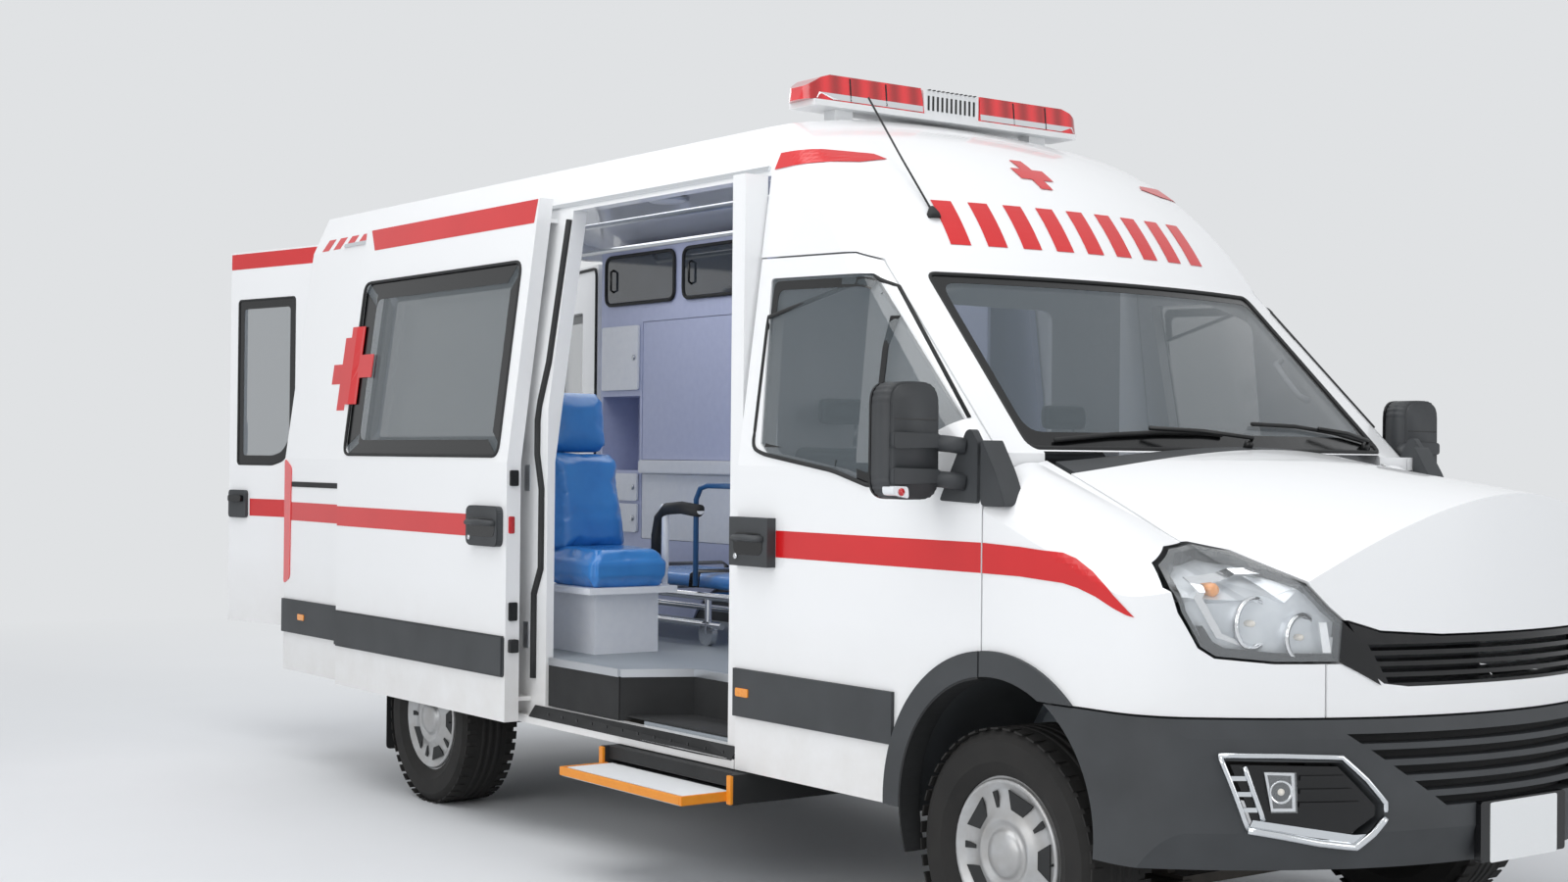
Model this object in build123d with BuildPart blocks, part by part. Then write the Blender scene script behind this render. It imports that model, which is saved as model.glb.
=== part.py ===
from build123d import *
from math import cos, pi, radians, sin
import os

os.makedirs("parts", exist_ok=True)

# Frame: +X forward, +Y to the vehicle's left, +Z up from the ground, millimetres.
# The origin is on the ground at the middle of the overall length.

# Driving sizes of the whole vehicle
wheelbase = 3520
front_overhang = 996
rear_overhang = 1435
half_width = 1000
wall = 60
gap = 6
sill_z = 430
belt_z = 1420
floor_z = 680
floor_thick = 50
roof_z = 2650
roof_edge_z = 2565
roof_edge_y = 790
lean = 0.135

# Rear doors, open past a right angle as they stand
rear_leaf_width = 800
rear_leaf_bottom_z = 602
rear_leaf_top_z = 2450
rear_hinge_standoff = 24
rear_open_angle = 102

rear_leaf_depth = 54
rear_leaf_proud = 4
rear_reach = (wheelbase + rear_overhang + rear_hinge_standoff
              + (rear_leaf_width + gap / 2) * sin(radians(rear_open_angle))
              - (rear_hinge_standoff - rear_leaf_proud + rear_leaf_depth) * cos(radians(rear_open_angle)))
front_x = (rear_reach - front_overhang) / 2
rear_axle_x = front_x - wheelbase
body_rear_x = rear_axle_x - rear_overhang
nose_x = front_x + front_overhang

# Windscreen and roof dome, seen from the side on the centre line
screen_axis_x = front_x - 3200
screen_base = (front_x + 36, 1468)
screen_top = (front_x - 530, 2045)
dome_middle = (front_x - 1000, 2490)
dome_end = (front_x - 1480, 2665)
cabin_corner = 110

# Nose, seen from the side on the centre line and turned about its own plan centre
nose_axis_x = front_x - 400
nose_corner = 260
nose_wall = 40
bonnet_half_width = 752
bumper_top_z = 792

# Stations along the body
door_front_x = front_x - 55
door_rear_x = front_x - 1250
door_top_z = 2100
slide_rear_x = front_x - 2530
slide_seat_x = front_x - 2780
slide_seat_depth = 28
slide_bottom_z = 500
slide_top_z = 2380
roof_split_z = 2392

# Black trim on the sides
trim_proud = 12
moulding_bottom_z = 607
moulding_top_z = 762
handle_bottom_z = 1098
handle_top_z = 1255

# Wheels
track = 1700
tyre_radius = 350
tyre_width = 235
rim_radius = 216
rim_width = 180
axle_z = tyre_radius
arch_radius = 395
arch_z = 450
flare = 72


def block(x, y, z, mode=Mode.ADD):
    """A straight block between two x, two y and two z values."""
    with BuildSketch(Plane.XY.offset(min(z))) as face:
        with Locations(((x[0] + x[1]) / 2, (y[0] + y[1]) / 2)):
            Rectangle(abs(x[1] - x[0]), abs(y[1] - y[0]))
    extrude(face.sketch, amount=max(z) - min(z), mode=mode)


def plate(plane, outline, depth, mode=Mode.ADD, corner=0):
    """A plate of any straight-sided outline on a plane, with its corners rounded if asked."""
    with BuildSketch(plane) as face:
        with BuildLine():
            Polyline(*outline, close=True)
        make_face()
        if corner:
            fillet(face.vertices(), radius=corner)
    extrude(face.sketch, amount=depth, mode=mode)


def side_plate(outline, y, mode=Mode.ADD, corner=0):
    """A plate with an x, z outline seen from the side, between two y values."""
    plane = Plane(origin=(0, max(y), 0), x_dir=(1, 0, 0), z_dir=(0, -1, 0))
    plate(plane, outline, max(y) - min(y), mode, corner)


def front_plate(outline, x, mode=Mode.ADD, corner=0):
    """A plate with a y, z outline seen from the front, between two x values."""
    plate(Plane.YZ.offset(min(x)), outline, max(x) - min(x), mode, corner)


def plan_plate(outline, z, mode=Mode.ADD, corner=0):
    """A plate with an x, y outline seen from above, between two z values."""
    plate(Plane.XY.offset(min(z)), outline, max(z) - min(z), mode, corner)


def drum(x, z, radius, y, mode=Mode.ADD):
    """A cylinder across the vehicle, between two y values."""
    with BuildSketch(Plane(origin=(x, max(y), z), x_dir=(1, 0, 0), z_dir=(0, -1, 0))) as face:
        Circle(radius)
    extrude(face.sketch, amount=max(y) - min(y), mode=mode)


def rod(start, end, radius, mode=Mode.ADD):
    """A round bar from one point to another."""
    run = Vector(*end) - Vector(*start)
    with BuildSketch(Plane(origin=start, z_dir=run)) as face:
        Circle(radius)
    extrude(face.sketch, amount=run.length, mode=mode)


def both_sides(outline):
    """A half outline of y, z points closed by its own mirror image."""
    return list(outline) + [(-y, z) for y, z in reversed(outline)]


def grown(outline, by):
    """The same closed outline with every edge moved outward by one distance."""
    turns = [a[0] * b[1] - b[0] * a[1] for a, b in zip(outline, outline[1:] + outline[:1])]
    outward = 1 if sum(turns) > 0 else -1
    moved = []
    for before, here, after in zip(outline[-1:] + outline[:-1], outline, outline[1:] + outline[:1]):
        into = Vector(here[0] - before[0], here[1] - before[1]).normalized()
        away = Vector(after[0] - here[0], after[1] - here[1]).normalized()
        reach = by * outward / (1 + into.dot(away))
        moved.append((here[0] + (into.Y + away.Y) * reach, here[1] - (into.X + away.X) * reach))
    return moved


def save(builder, name):
    builder.part.label = name
    export_step(builder.part, f"parts/{name}.step")


def cabin_form(inset):
    """The body behind the cowl as one solid, or drawn in all round by a wall."""
    side_y = half_width - inset
    shoulder_y = side_y - lean * (roof_split_z - belt_z)
    edge_y = roof_edge_y - inset
    edge_z = roof_edge_z - inset
    base_z = sill_z if inset < wall else sill_z - 20
    shift = inset * 0.71
    with BuildPart() as form:
        with BuildSketch(Plane.YZ.offset(body_rear_x + inset)):
            with BuildLine():
                Polyline((-edge_y, edge_z), (-shoulder_y, roof_split_z), (-side_y, belt_z),
                         (-side_y, base_z), (side_y, base_z), (side_y, belt_z),
                         (shoulder_y, roof_split_z), (edge_y, edge_z))
                ThreePointArc((-edge_y, edge_z), (0, roof_z - inset), (edge_y, edge_z))
            make_face()
        extrude(amount=screen_base[0] - body_rear_x - 2 * inset)
        turn = radians(50)
        slope = Plane(origin=(screen_axis_x, 0, 0), x_dir=(cos(turn), -sin(turn), 0),
                      z_dir=(-sin(turn), -cos(turn), 0))
        base, top, middle, end = [(x - screen_axis_x - shift, z - shift)
                                  for x, z in (screen_base, screen_top, dome_middle, dome_end)]
        with BuildSketch(slope):
            with BuildLine():
                ThreePointArc(top, middle, end)
                Polyline(end, (end[0], roof_z + 400), (base[0] + 2600, roof_z + 400),
                         (base[0] + 2600, base[1]), base, top)
            make_face()
        revolve(axis=Axis((screen_axis_x, 0, 0), (0, 0, 1)), revolution_arc=100, mode=Mode.SUBTRACT)
        corners = [e for e in form.edges() if abs(e.center().Y) > 780 and e.center().X > front_x - 1400
                   and e.center().Z > 1500 and e.geom_type != GeomType.LINE]
        fillet(corners, radius=cabin_corner - inset)
    return form.part


def front_form(inset, profile):
    """The nose as one solid: crowned sections, a front turned in plan, and round corners."""
    side_y = half_width - inset
    low_z = profile[-1][1] - inset
    with BuildPart() as form:
        for x, middle_z, crease_y, crease_z, shoulder_z in nose_sections:
            edge_y = crease_y - inset * 0.6
            edge_z = crease_z - inset
            top_z = shoulder_z - inset * 0.5
            bulge = (side_y - (side_y - edge_y) * 0.3, edge_z - (edge_z - top_z) * 0.32)
            with BuildSketch(Plane.YZ.offset(x)):
                with BuildLine():
                    ThreePointArc((-edge_y, edge_z), (0, middle_z - inset), (edge_y, edge_z))
                    for side in (-1, 1):
                        ThreePointArc((side * edge_y, edge_z), (side * bulge[0], bulge[1]),
                                      (side * side_y, top_z))
                    Polyline((-side_y, top_z), (-side_y, low_z), (side_y, low_z), (side_y, top_z))
                make_face()
        loft(ruled=True)
        with BuildSketch(Plane.XY) as plan:
            with Locations((nose_axis_x, 0)):
                Circle(max(x for x, z in profile) - nose_axis_x - inset)
            with Locations((nose_axis_x + 1000, 0)):
                Rectangle(2000, 2 * side_y, mode=Mode.INTERSECT)
            fillet(plan.vertices().group_by(Axis.X)[-1], radius=nose_corner)
        extrude(amount=2000, mode=Mode.INTERSECT)
        turn = radians(80)
        slope = Plane(origin=(nose_axis_x, 0, 0), x_dir=(cos(turn), -sin(turn), 0),
                      z_dir=(-sin(turn), -cos(turn), 0))
        points = [(x - nose_axis_x - inset, z - inset * 0.6) for x, z in profile]
        with BuildSketch(slope):
            with BuildLine():
                ThreePointArc(*points[0:3])
                Polyline(*points[2:], (points[-1][0], 0), (2400, 0), (2400, 2000), (points[0][0], 2000),
                         points[0])
            make_face()
        revolve(axis=Axis((nose_axis_x, 0, 0), (0, 0, 1)), revolution_arc=160, mode=Mode.SUBTRACT)
    return form.part


# Nose sections: x, height on the centre line, bonnet crease y and z, and where the side turns upright
nose_sections = (
    (front_x - 140, 1522, 802, 1478, 1340),
    (front_x + 1040, 1365, 700, 1000, 880),
)
bonnet_profile = ((front_x + 470, 1500), (front_x + 770, 1315), (front_x + 880, 1090), (front_x + 930, 1032),
                  (front_x + 962, 900), (front_x + 980, 770), (front_x + 985, sill_z))
bumper_proud = 6
bumper_x = nose_x - bumper_proud
bumper_profile = ((bumper_x - 56, 1000), (bumper_x - 26, 880), (bumper_x - 6, 790), (bumper_x, 740),
                  (bumper_x, 500), (bumper_x - 31, 400))

cabin = cabin_form(0)
cabin_shell = cabin - cabin_form(wall)
glass_shell = cabin_form(6) - cabin_form(14)
nose_shell = front_form(0, bonnet_profile) - front_form(nose_wall, bonnet_profile)
bumper_shell = front_form(-bumper_proud, bumper_profile) - front_form(nose_wall, bumper_profile)
inner_y = half_width - wall
cabin_front_x = screen_base[0]

# Outlines of the openings and panel splits, as x, z seen from the side
door_outline = [(door_front_x, sill_z), (door_front_x, 1600), (front_x - 620, 2040),
                (front_x - 760, 2085), (door_rear_x + gap, door_top_z), (door_rear_x + gap, sill_z)]
door_opening = [(door_front_x + gap, sill_z - 5), (door_front_x + gap, 1600 + gap / 2),
                (front_x - 620 + gap / 2, 2040 + gap), (front_x - 760, 2085 + gap),
                (door_rear_x, door_top_z + gap), (door_rear_x, sill_z - 5)]
pillar_low = (906, 1460)
pillar_high = (851, 2040)
pillar_rear_x = front_x - 760
pillar_frame = 32
door_window = [(front_x - 1130, 1490), (front_x - 1095, 1462), (front_x - 740, 1414), (front_x - 554, 1368),
               (front_x - 170, 1585), (front_x - 240, 1675), (front_x - 578, 1975), (front_x - 680, 2018),
               (front_x - 1178, 2032)]
roof_outline = [(body_rear_x, roof_split_z), (door_rear_x, roof_split_z), (door_rear_x, door_top_z + gap),
                (front_x - 760, 2085 + gap), (front_x - 620 + gap / 2, 2040 + gap),
                (front_x + 200, 2040 + gap), (front_x + 200, 2800), (body_rear_x, 2800)]
mirror_front_x = front_x - 170
mirror_inner_y = half_width + 50
mirror_depth = 100
mirror_width = 190
mirror_height = 336
mirror_z = 1500
mirror_base = [(front_x - 62, 1325), (front_x - 62, 1496), (front_x - 90, 1535), (front_x - 112, 1530),
               (front_x - 225, 1325)]
leaf_window = [(250, 1500), (300, 1440), (345, 1405), (430, 1385), (735, 1385), (735, 2210), (250, 2210)]
slide_window = [(front_x - 2700, 1444), (front_x - 2700, 2190), (front_x - 4090, 2190),
                (front_x - 4090, 1444)]
rear_window = [(front_x - 2760, 1450), (front_x - 2760, 2180), (front_x - 4090, 2180), (front_x - 4090, 1450)]

# Outlines as y, z seen from the front or the rear
screen_outline = both_sides([(738, 2026), (800, 1478)])
aperture_y = rear_leaf_width + 12
rear_aperture = both_sides([(aperture_y, rear_leaf_bottom_z - gap), (aperture_y, rear_leaf_top_z + gap)])
lamp_outline = [(941, 1124), (905, 1180), (835, 1219), (741, 1230), (700, 1212), (664, 1130), (614, 1074),
                (578, 1041), (585, 940), (740, 940), (863, 953), (893, 977), (929, 1064)]
grille_bottom = [(200, 874), (400, 873)]
grille_side = [(470, 882), (492, 899), (527, 975)]
grille_top = [(566, 1040), (480, 1013), (300, 1001)]
grille_slots = 4
grille_slot_rise = 10
grille_slot_inset = 12
grille_slot_pitch = 28
grille_slot_height = 16
fog_outline = [(866, 690), (590, 684), (480, 572), (476, 535), (540, 476), (797, 515)]
intake_rows = 5
intake_pitch = 42
intake_slot_height = 26
intake_bottom = (290, 562)
intake_flare = 62
nose_split_y = 620
lamp_join_z = 1200

with BuildPart() as roof:
    add(cabin_shell)
    side_plate(roof_outline, (1200, -1200), mode=Mode.INTERSECT)
    front_plate(rear_aperture, (body_rear_x - 10, body_rear_x + wall + 30), mode=Mode.SUBTRACT)
save(roof, "roof")

for side, hand in ((-1, "right"), (1, "left")):
    with BuildPart() as side_panel:
        add(cabin_shell)
        side_plate([(body_rear_x, sill_z), (door_rear_x, sill_z), (door_rear_x, roof_split_z),
                    (body_rear_x, roof_split_z)], (0, side * 1200), mode=Mode.INTERSECT)
        front_plate(rear_aperture, (body_rear_x - 10, body_rear_x + wall + 30), mode=Mode.SUBTRACT)
        drum(rear_axle_x, arch_z, arch_radius, (0, side * 1200), mode=Mode.SUBTRACT)
        block((rear_axle_x - arch_radius, rear_axle_x + arch_radius), (0, side * 1200), (sill_z - 10, arch_z),
              mode=Mode.SUBTRACT)
        side_plate(rear_window, (0, side * 1200), mode=Mode.SUBTRACT, corner=50)
        if hand == "right":
            block((slide_seat_x, door_rear_x + 2), (-half_width + slide_seat_depth, -1200),
                  (slide_bottom_z - 40, slide_top_z), mode=Mode.SUBTRACT)
            block((slide_rear_x, door_rear_x + 2), (-500, -1200), (slide_bottom_z, slide_top_z),
                  mode=Mode.SUBTRACT)
            block((door_rear_x - 75, door_rear_x - 5), (-inner_y + 60, -half_width + slide_seat_depth),
                  (slide_bottom_z, slide_top_z))
    save(side_panel, f"side_panel_{hand}")

screen_radius = screen_base[0] - screen_axis_x
cowl_width = 95


def arc_band(inner_radius, outer_radius, z, mode=Mode.INTERSECT):
    """A band in plan, round the windscreen's own centre, between two heights."""
    with BuildSketch(Plane.XY.offset(min(z))) as face:
        with Locations((screen_axis_x, 0)):
            Circle(outer_radius)
            Circle(inner_radius, mode=Mode.SUBTRACT)
    extrude(face.sketch, amount=max(z) - min(z), mode=mode)


# The space the front doors take: their outline from the side, less the pillars' own from the front
with BuildPart() as opening:
    for side in (-1, 1):
        side_plate(door_opening, (side * 680, side * 1200))
    front_plate(both_sides([(pillar_high[0] - gap, pillar_high[1] + 80),
                            (pillar_high[0] - gap, pillar_high[1]),
                            (pillar_low[0] - gap, pillar_low[1]), (pillar_low[0] - gap, belt_z)]),
                (pillar_rear_x, cabin_front_x + 100), mode=Mode.SUBTRACT)
    for side in (-1, 1):
        block((door_front_x, cabin_front_x + 1), (side * 750, side * 1200), (sill_z - 10, screen_base[1] + 1))
door_space = opening.part

# The door windows: their outline from the side, less a frame along the pillars
with BuildPart() as windows:
    for side in (-1, 1):
        side_plate(door_window, (side * 700, side * 1200), corner=12)
    front_plate(both_sides([(pillar_high[0] + pillar_frame, pillar_high[1] + 80),
                            (pillar_high[0] + pillar_frame, pillar_high[1]),
                            (pillar_low[0] + pillar_frame, pillar_low[1]),
                            (pillar_low[0] + pillar_frame, belt_z - 80)]),
                (pillar_rear_x + 60, cabin_front_x + 100), mode=Mode.SUBTRACT)
window_space = windows.part

with BuildPart() as cab_frame:
    add(cabin_shell)
    side_plate([(door_rear_x, sill_z), (cabin_front_x, sill_z), (cabin_front_x + 10, 2040 + gap),
                (front_x - 620 + gap / 2, 2040 + gap), (front_x - 760, 2085 + gap),
                (door_rear_x, door_top_z + gap)], (1200, -1200), mode=Mode.INTERSECT)
    add(door_space, mode=Mode.SUBTRACT)
    front_plate(screen_outline, (front_x - 620, front_x + 200), mode=Mode.SUBTRACT, corner=30)
    block((door_rear_x - 10, cabin_front_x + 10), (-760, 760), (sill_z - 10, belt_z + 54), mode=Mode.SUBTRACT)
    front_plate(both_sides([(740, belt_z - 60), (inner_y - 40, belt_z - 130),
                            (inner_y - 40, floor_z - floor_thick)]),
                (front_x - 40, front_x - 24))
    for side in (-1, 1):
        block((front_x - 120, front_x + 30), (side * (inner_y - 75), side * (inner_y - 41)),
              (arch_z + arch_radius + 20, belt_z - 130))
        block((front_x - 120, door_front_x - 3), (side * (inner_y - 75), side * (inner_y - 41)),
              (belt_z - 130, belt_z + 35))
        block((door_rear_x, front_x - 40), (side * (inner_y - 90), side * (inner_y - 30)),
              (sill_z + 10, floor_z - floor_thick))
        drum(front_x, arch_z, arch_radius + 14, (side * 470, side * 1200), mode=Mode.SUBTRACT)
        block((front_x - arch_radius - 14, front_x + 200), (side * 470, side * 1200), (sill_z - 10, arch_z),
              mode=Mode.SUBTRACT)
save(cab_frame, "cab_front_frame")

with BuildPart() as cowl:
    add(front_form(4, bonnet_profile) - front_form(16, bonnet_profile))
    arc_band(screen_radius + 6, screen_radius + cowl_width - gap, (1300, 1600))
    block((front_x - 400, front_x + 400), (-730, 730), (1300, 1600),
          mode=Mode.INTERSECT)
save(cowl, "cowl_grille")

# Nose: bonnet, wings, nose panel, lamps, grille and bumper
with BuildPart() as bonnet:
    add(nose_shell)
    bonnet_edge = [(y, z + gap) for y, z in grille_top]
    front_plate(both_sides([(bonnet_half_width, 1700), (bonnet_half_width, lamp_join_z),
                            (nose_split_y, bonnet_edge[0][1])] + bonnet_edge),
                (front_x - 200, nose_x + 100), mode=Mode.INTERSECT)
    for side in (-1, 1):
        front_plate([(side * y, z) for y, z in grown(lamp_outline, gap)], (front_x + 250, nose_x + 100),
                    mode=Mode.SUBTRACT)
    arc_band(screen_radius + cowl_width, screen_radius + 2000, (900, 1700))
save(bonnet, "bonnet")

with BuildPart() as wings:
    add(nose_shell)
    block((door_front_x + gap, nose_x + 100), (0, 1100), (bumper_top_z + gap, 1700), mode=Mode.INTERSECT)
    front_plate(both_sides([(bonnet_half_width + gap, 1700), (bonnet_half_width + gap, lamp_join_z),
                            (nose_split_y + gap / 2, 1000), (nose_split_y + gap / 2, 700)]),
                (front_x - 300, nose_x + 100), mode=Mode.SUBTRACT)
    front_plate(grown(lamp_outline, gap), (front_x + 250, nose_x + 100), mode=Mode.SUBTRACT)
    drum(front_x, arch_z, arch_radius, (470, 1200), mode=Mode.SUBTRACT)
    mirror(about=Plane.XZ)
save(wings, "front_wings")

with BuildPart() as nose_panel:
    add(nose_shell)
    front_plate(both_sides([(nose_split_y - gap / 2, 1000), (nose_split_y - gap / 2, bumper_top_z + gap)]),
                (front_x + 300, nose_x + 100), mode=Mode.INTERSECT)
    for side in (-1, 1):
        front_plate([(side * y, z) for y, z in grown(lamp_outline, gap)], (front_x + 250, nose_x + 100),
                    mode=Mode.SUBTRACT)
    front_plate(both_sides(grille_bottom + grille_side + [(545, 1005), (545, 1100)]),
                (front_x + 300, nose_x + 100), mode=Mode.SUBTRACT)
save(nose_panel, "nose_panel")

with BuildPart() as grille:
    add(nose_shell)
    front_plate(both_sides(grille_bottom + grille_side + grille_top), (front_x + 300, nose_x + 100),
                mode=Mode.INTERSECT)
    for row in range(grille_slots):
        slot_z = grille_bottom[1][1] + grille_slot_rise + row * grille_slot_pitch
        slot_y = grille_side[0][0] - grille_slot_inset + row * grille_slot_height
        front_plate(both_sides([(slot_y + 8, slot_z + grille_slot_height), (slot_y, slot_z)]),
                    (front_x + 300, nose_x + 100), mode=Mode.SUBTRACT)
save(grille, "upper_grille")

with BuildPart() as lamps:
    for side in (-1, 1):
        front_plate([(side * y, z) for y, z in lamp_outline], (front_x + 250, nose_x + 100))
    add(nose_shell, mode=Mode.INTERSECT)
save(lamps, "headlamps")

with BuildPart() as bumper:
    add(bumper_shell)
    block((front_x + 200, nose_x + 100), (-1200, 1200), (400, bumper_top_z), mode=Mode.INTERSECT)
    for row in range(intake_rows):
        slot_z = intake_bottom[1] + row * intake_pitch
        slot_y = intake_bottom[0] + row * intake_flare
        front_plate(both_sides([(slot_y + 38, slot_z + intake_slot_height), (slot_y, slot_z)]),
                    (front_x + 300, nose_x + 100), mode=Mode.SUBTRACT)
    for side in (-1, 1):
        drum(front_x, arch_z, arch_radius + 2, (side * 470, side * 1200), mode=Mode.SUBTRACT)
        block((front_x, front_x + 330), (side * 470, side * 1200), (390, arch_z), mode=Mode.SUBTRACT)
        front_plate([(side * y, z) for y, z in fog_outline], (front_x + 400, nose_x + 100),
                    mode=Mode.SUBTRACT, corner=12)
save(bumper, "front_bumper")

with BuildPart() as fogs:
    for side in (-1, 1):
        front_plate([(side * y, z) for y, z in fog_outline], (front_x + 400, nose_x + 100), corner=12)
    add(front_form(10, bumper_profile) - front_form(36, bumper_profile), mode=Mode.INTERSECT)
save(fogs, "fog_lamps")

with BuildPart() as windscreen:
    add(glass_shell)
    front_plate(screen_outline, (front_x - 620, front_x + 200), mode=Mode.INTERSECT, corner=30)
save(windscreen, "windscreen")

# Front doors, each with its glass, mirror and black trim
for side, hand in ((-1, "right"), (1, "left")):
    with BuildPart() as door:
        add(cabin_shell)
        side_plate(door_outline, (side * 848, side * 1200), mode=Mode.INTERSECT)
        front_plate(both_sides([(pillar_high[0], pillar_high[1] + 80), pillar_high, pillar_low,
                                (pillar_low[0], belt_z - gap)]),
                    (pillar_rear_x, cabin_front_x + 100), mode=Mode.SUBTRACT)
        drum(front_x, arch_z, arch_radius, (side * 470, side * 1200), mode=Mode.SUBTRACT)
        block((front_x - arch_radius, front_x), (side * 470, side * 1200), (sill_z - 10, arch_z),
              mode=Mode.SUBTRACT)
        block((door_rear_x - 10, front_x), (side * 600, side * (inner_y - 1)), (sill_z - 10, belt_z),
              mode=Mode.SUBTRACT)
        add(window_space, mode=Mode.SUBTRACT)
    save(door, f"front_door_{hand}")
    with BuildPart() as door_glass:
        add(glass_shell)
        add(window_space, mode=Mode.INTERSECT)
        block((door_rear_x, front_x), (side * 600, side * 1200), (belt_z - 100, door_top_z),
              mode=Mode.INTERSECT)
    save(door_glass, f"front_door_glass_{hand}")
    with BuildPart() as door_trim:
        with BuildSketch(Plane(origin=(front_x, side * half_width, arch_z), x_dir=(1, 0, 0),
                               z_dir=(0, side, 0))) as flare_face:
            Circle(arch_radius + flare)
            Circle(arch_radius, mode=Mode.SUBTRACT)
        extrude(flare_face.sketch, amount=trim_proud)
        block((door_rear_x, door_front_x), (side * 990, side * 1020), (sill_z, arch_z + arch_radius + flare),
              mode=Mode.INTERSECT)
        block((door_rear_x + gap, front_x - arch_radius - flare / 2),
              (side * half_width, side * (half_width + trim_proud)), (moulding_bottom_z, moulding_top_z))
        block((door_rear_x + 10, door_rear_x + 220), (side * half_width, side * (half_width + 34)),
              (handle_bottom_z, handle_top_z))
    save(door_trim, f"front_door_trim_{hand}")
    with BuildPart() as mirror:
        with BuildSketch(Plane.YZ.offset(mirror_front_x - mirror_depth)) as head_face:
            with Locations((side * (mirror_inner_y + mirror_width / 2), mirror_z)):
                RectangleRounded(mirror_width, mirror_height, 45)
        extrude(head_face.sketch, amount=mirror_depth)
        for arm_z in (mirror_z - 105, mirror_z):
            rod((door_front_x - 60, side * (half_width + 2), arm_z - 12),
                (mirror_front_x - 40, side * (mirror_inner_y + 15), arm_z), 21)
        side_plate(mirror_base, (side * (half_width - 20), side * (half_width + 14)))
        add(cabin, mode=Mode.SUBTRACT)
    save(mirror, f"mirror_{hand}")

# Side glass behind the cab, light bar, tail lamps, side mouldings
with BuildPart() as side_glass:
    for side in (-1, 1):
        side_plate(rear_window, (side * 800, side * 1200), corner=50)
    add(glass_shell, mode=Mode.INTERSECT)
save(side_glass, "side_windows")

bar_x = front_x - 1420
bar_half = 650
bar_depth = 150
bar_middle = 130
bar_base_z = 2658
bar_base_height = 20
bar_lens_z = bar_base_z + bar_base_height
bar_lens_height = 90
bar_foot_y = 460
with BuildPart() as bar_base:
    block((bar_x - bar_depth / 2, bar_x + bar_depth / 2), (30 - bar_half, bar_half - 30),
          (bar_base_z, bar_lens_z))
    for side in (-1, 1):
        block((bar_x - 30, bar_x + 30), (side * (bar_foot_y - 40), side * (bar_foot_y + 40)),
              (roof_z - 60, bar_base_z))
    block((bar_x - bar_depth / 2 + 5, bar_x + bar_depth / 2 - 5), (-bar_middle, bar_middle),
          (bar_lens_z, bar_lens_z + bar_lens_height - 4))
    add(cabin, mode=Mode.SUBTRACT)
save(bar_base, "light_bar_base")

with BuildPart() as bar_lens:
    for side in (-1, 1):
        with BuildSketch(Plane.XY.offset(bar_lens_z)) as lens_plan:
            with Locations((bar_x, side * (bar_half + bar_middle + 1) / 2)):
                Rectangle(bar_depth, bar_half - bar_middle - 1)
            fillet([v for v in lens_plan.vertices() if abs(v.Y) > bar_half - 1], radius=60)
        extrude(lens_plan.sketch, amount=bar_lens_height, taper=6)
    front_plate(both_sides([(bar_half - 100, bar_lens_z + bar_lens_height), (bar_half - 60, bar_lens_z + 78),
                            (bar_half - 8, bar_lens_z + 45), (bar_half, bar_lens_z)]),
                (bar_x - bar_depth, bar_x + bar_depth), mode=Mode.INTERSECT)
save(bar_lens, "light_bar_lenses")

with BuildPart() as tail_lamps:
    for side in (-1, 1):
        block((body_rear_x - 14, body_rear_x), (side * 870, side * 985), (900, 1400))
save(tail_lamps, "tail_lamps")

with BuildPart() as mouldings:
    for side, front_end in ((-1, slide_seat_x - 4), (1, door_rear_x)):
        block((body_rear_x, front_end), (side * half_width, side * (half_width + trim_proud)),
              (moulding_bottom_z, moulding_top_z))
        drum(rear_axle_x, arch_z, arch_radius, (side * 900, side * 1200), mode=Mode.SUBTRACT)

with BuildPart() as wing_flares:
    for side in (-1, 1):
        with BuildSketch(Plane(origin=(front_x, side * 700, arch_z), x_dir=(1, 0, 0),
                               z_dir=(0, side, 0))) as ring:
            Circle(arch_radius + flare)
            Circle(arch_radius, mode=Mode.SUBTRACT)
        extrude(ring.sketch, amount=400)
    block((door_front_x + gap, front_x + 600), (-1200, 1200), (bumper_top_z + gap, 1000), mode=Mode.INTERSECT)
    add(front_form(-trim_proud, bonnet_profile) - front_form(0, bonnet_profile), mode=Mode.INTERSECT)

with BuildPart() as trim:
    add(mouldings.part)
    add(wing_flares.part)
save(trim, "side_mouldings")

with BuildPart() as arch_liners:
    for axle_x in (front_x, rear_axle_x):
        for side in (-1, 1):
            drum(axle_x, arch_z, arch_radius + 14, (side * 480, side * (inner_y - 8)))
            drum(axle_x, arch_z, arch_radius + 2, (side * 400, side * 1200), mode=Mode.SUBTRACT)
            if axle_x == rear_axle_x:
                drum(axle_x, arch_z, arch_radius + 14, (side * 600, side * 612))
    for axle_x in (front_x, rear_axle_x):
        block((axle_x - 600, axle_x + 600), (-1200, 1200), (0, arch_z - 40), mode=Mode.SUBTRACT)
    block((rear_axle_x - 600, rear_axle_x + 600), (-600, 600), (0, 1200), mode=Mode.SUBTRACT)
    block((front_x - 600, front_x + 600), (-520, 520), (0, 1200), mode=Mode.SUBTRACT)
save(arch_liners, "wheel_arch_liners")

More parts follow.
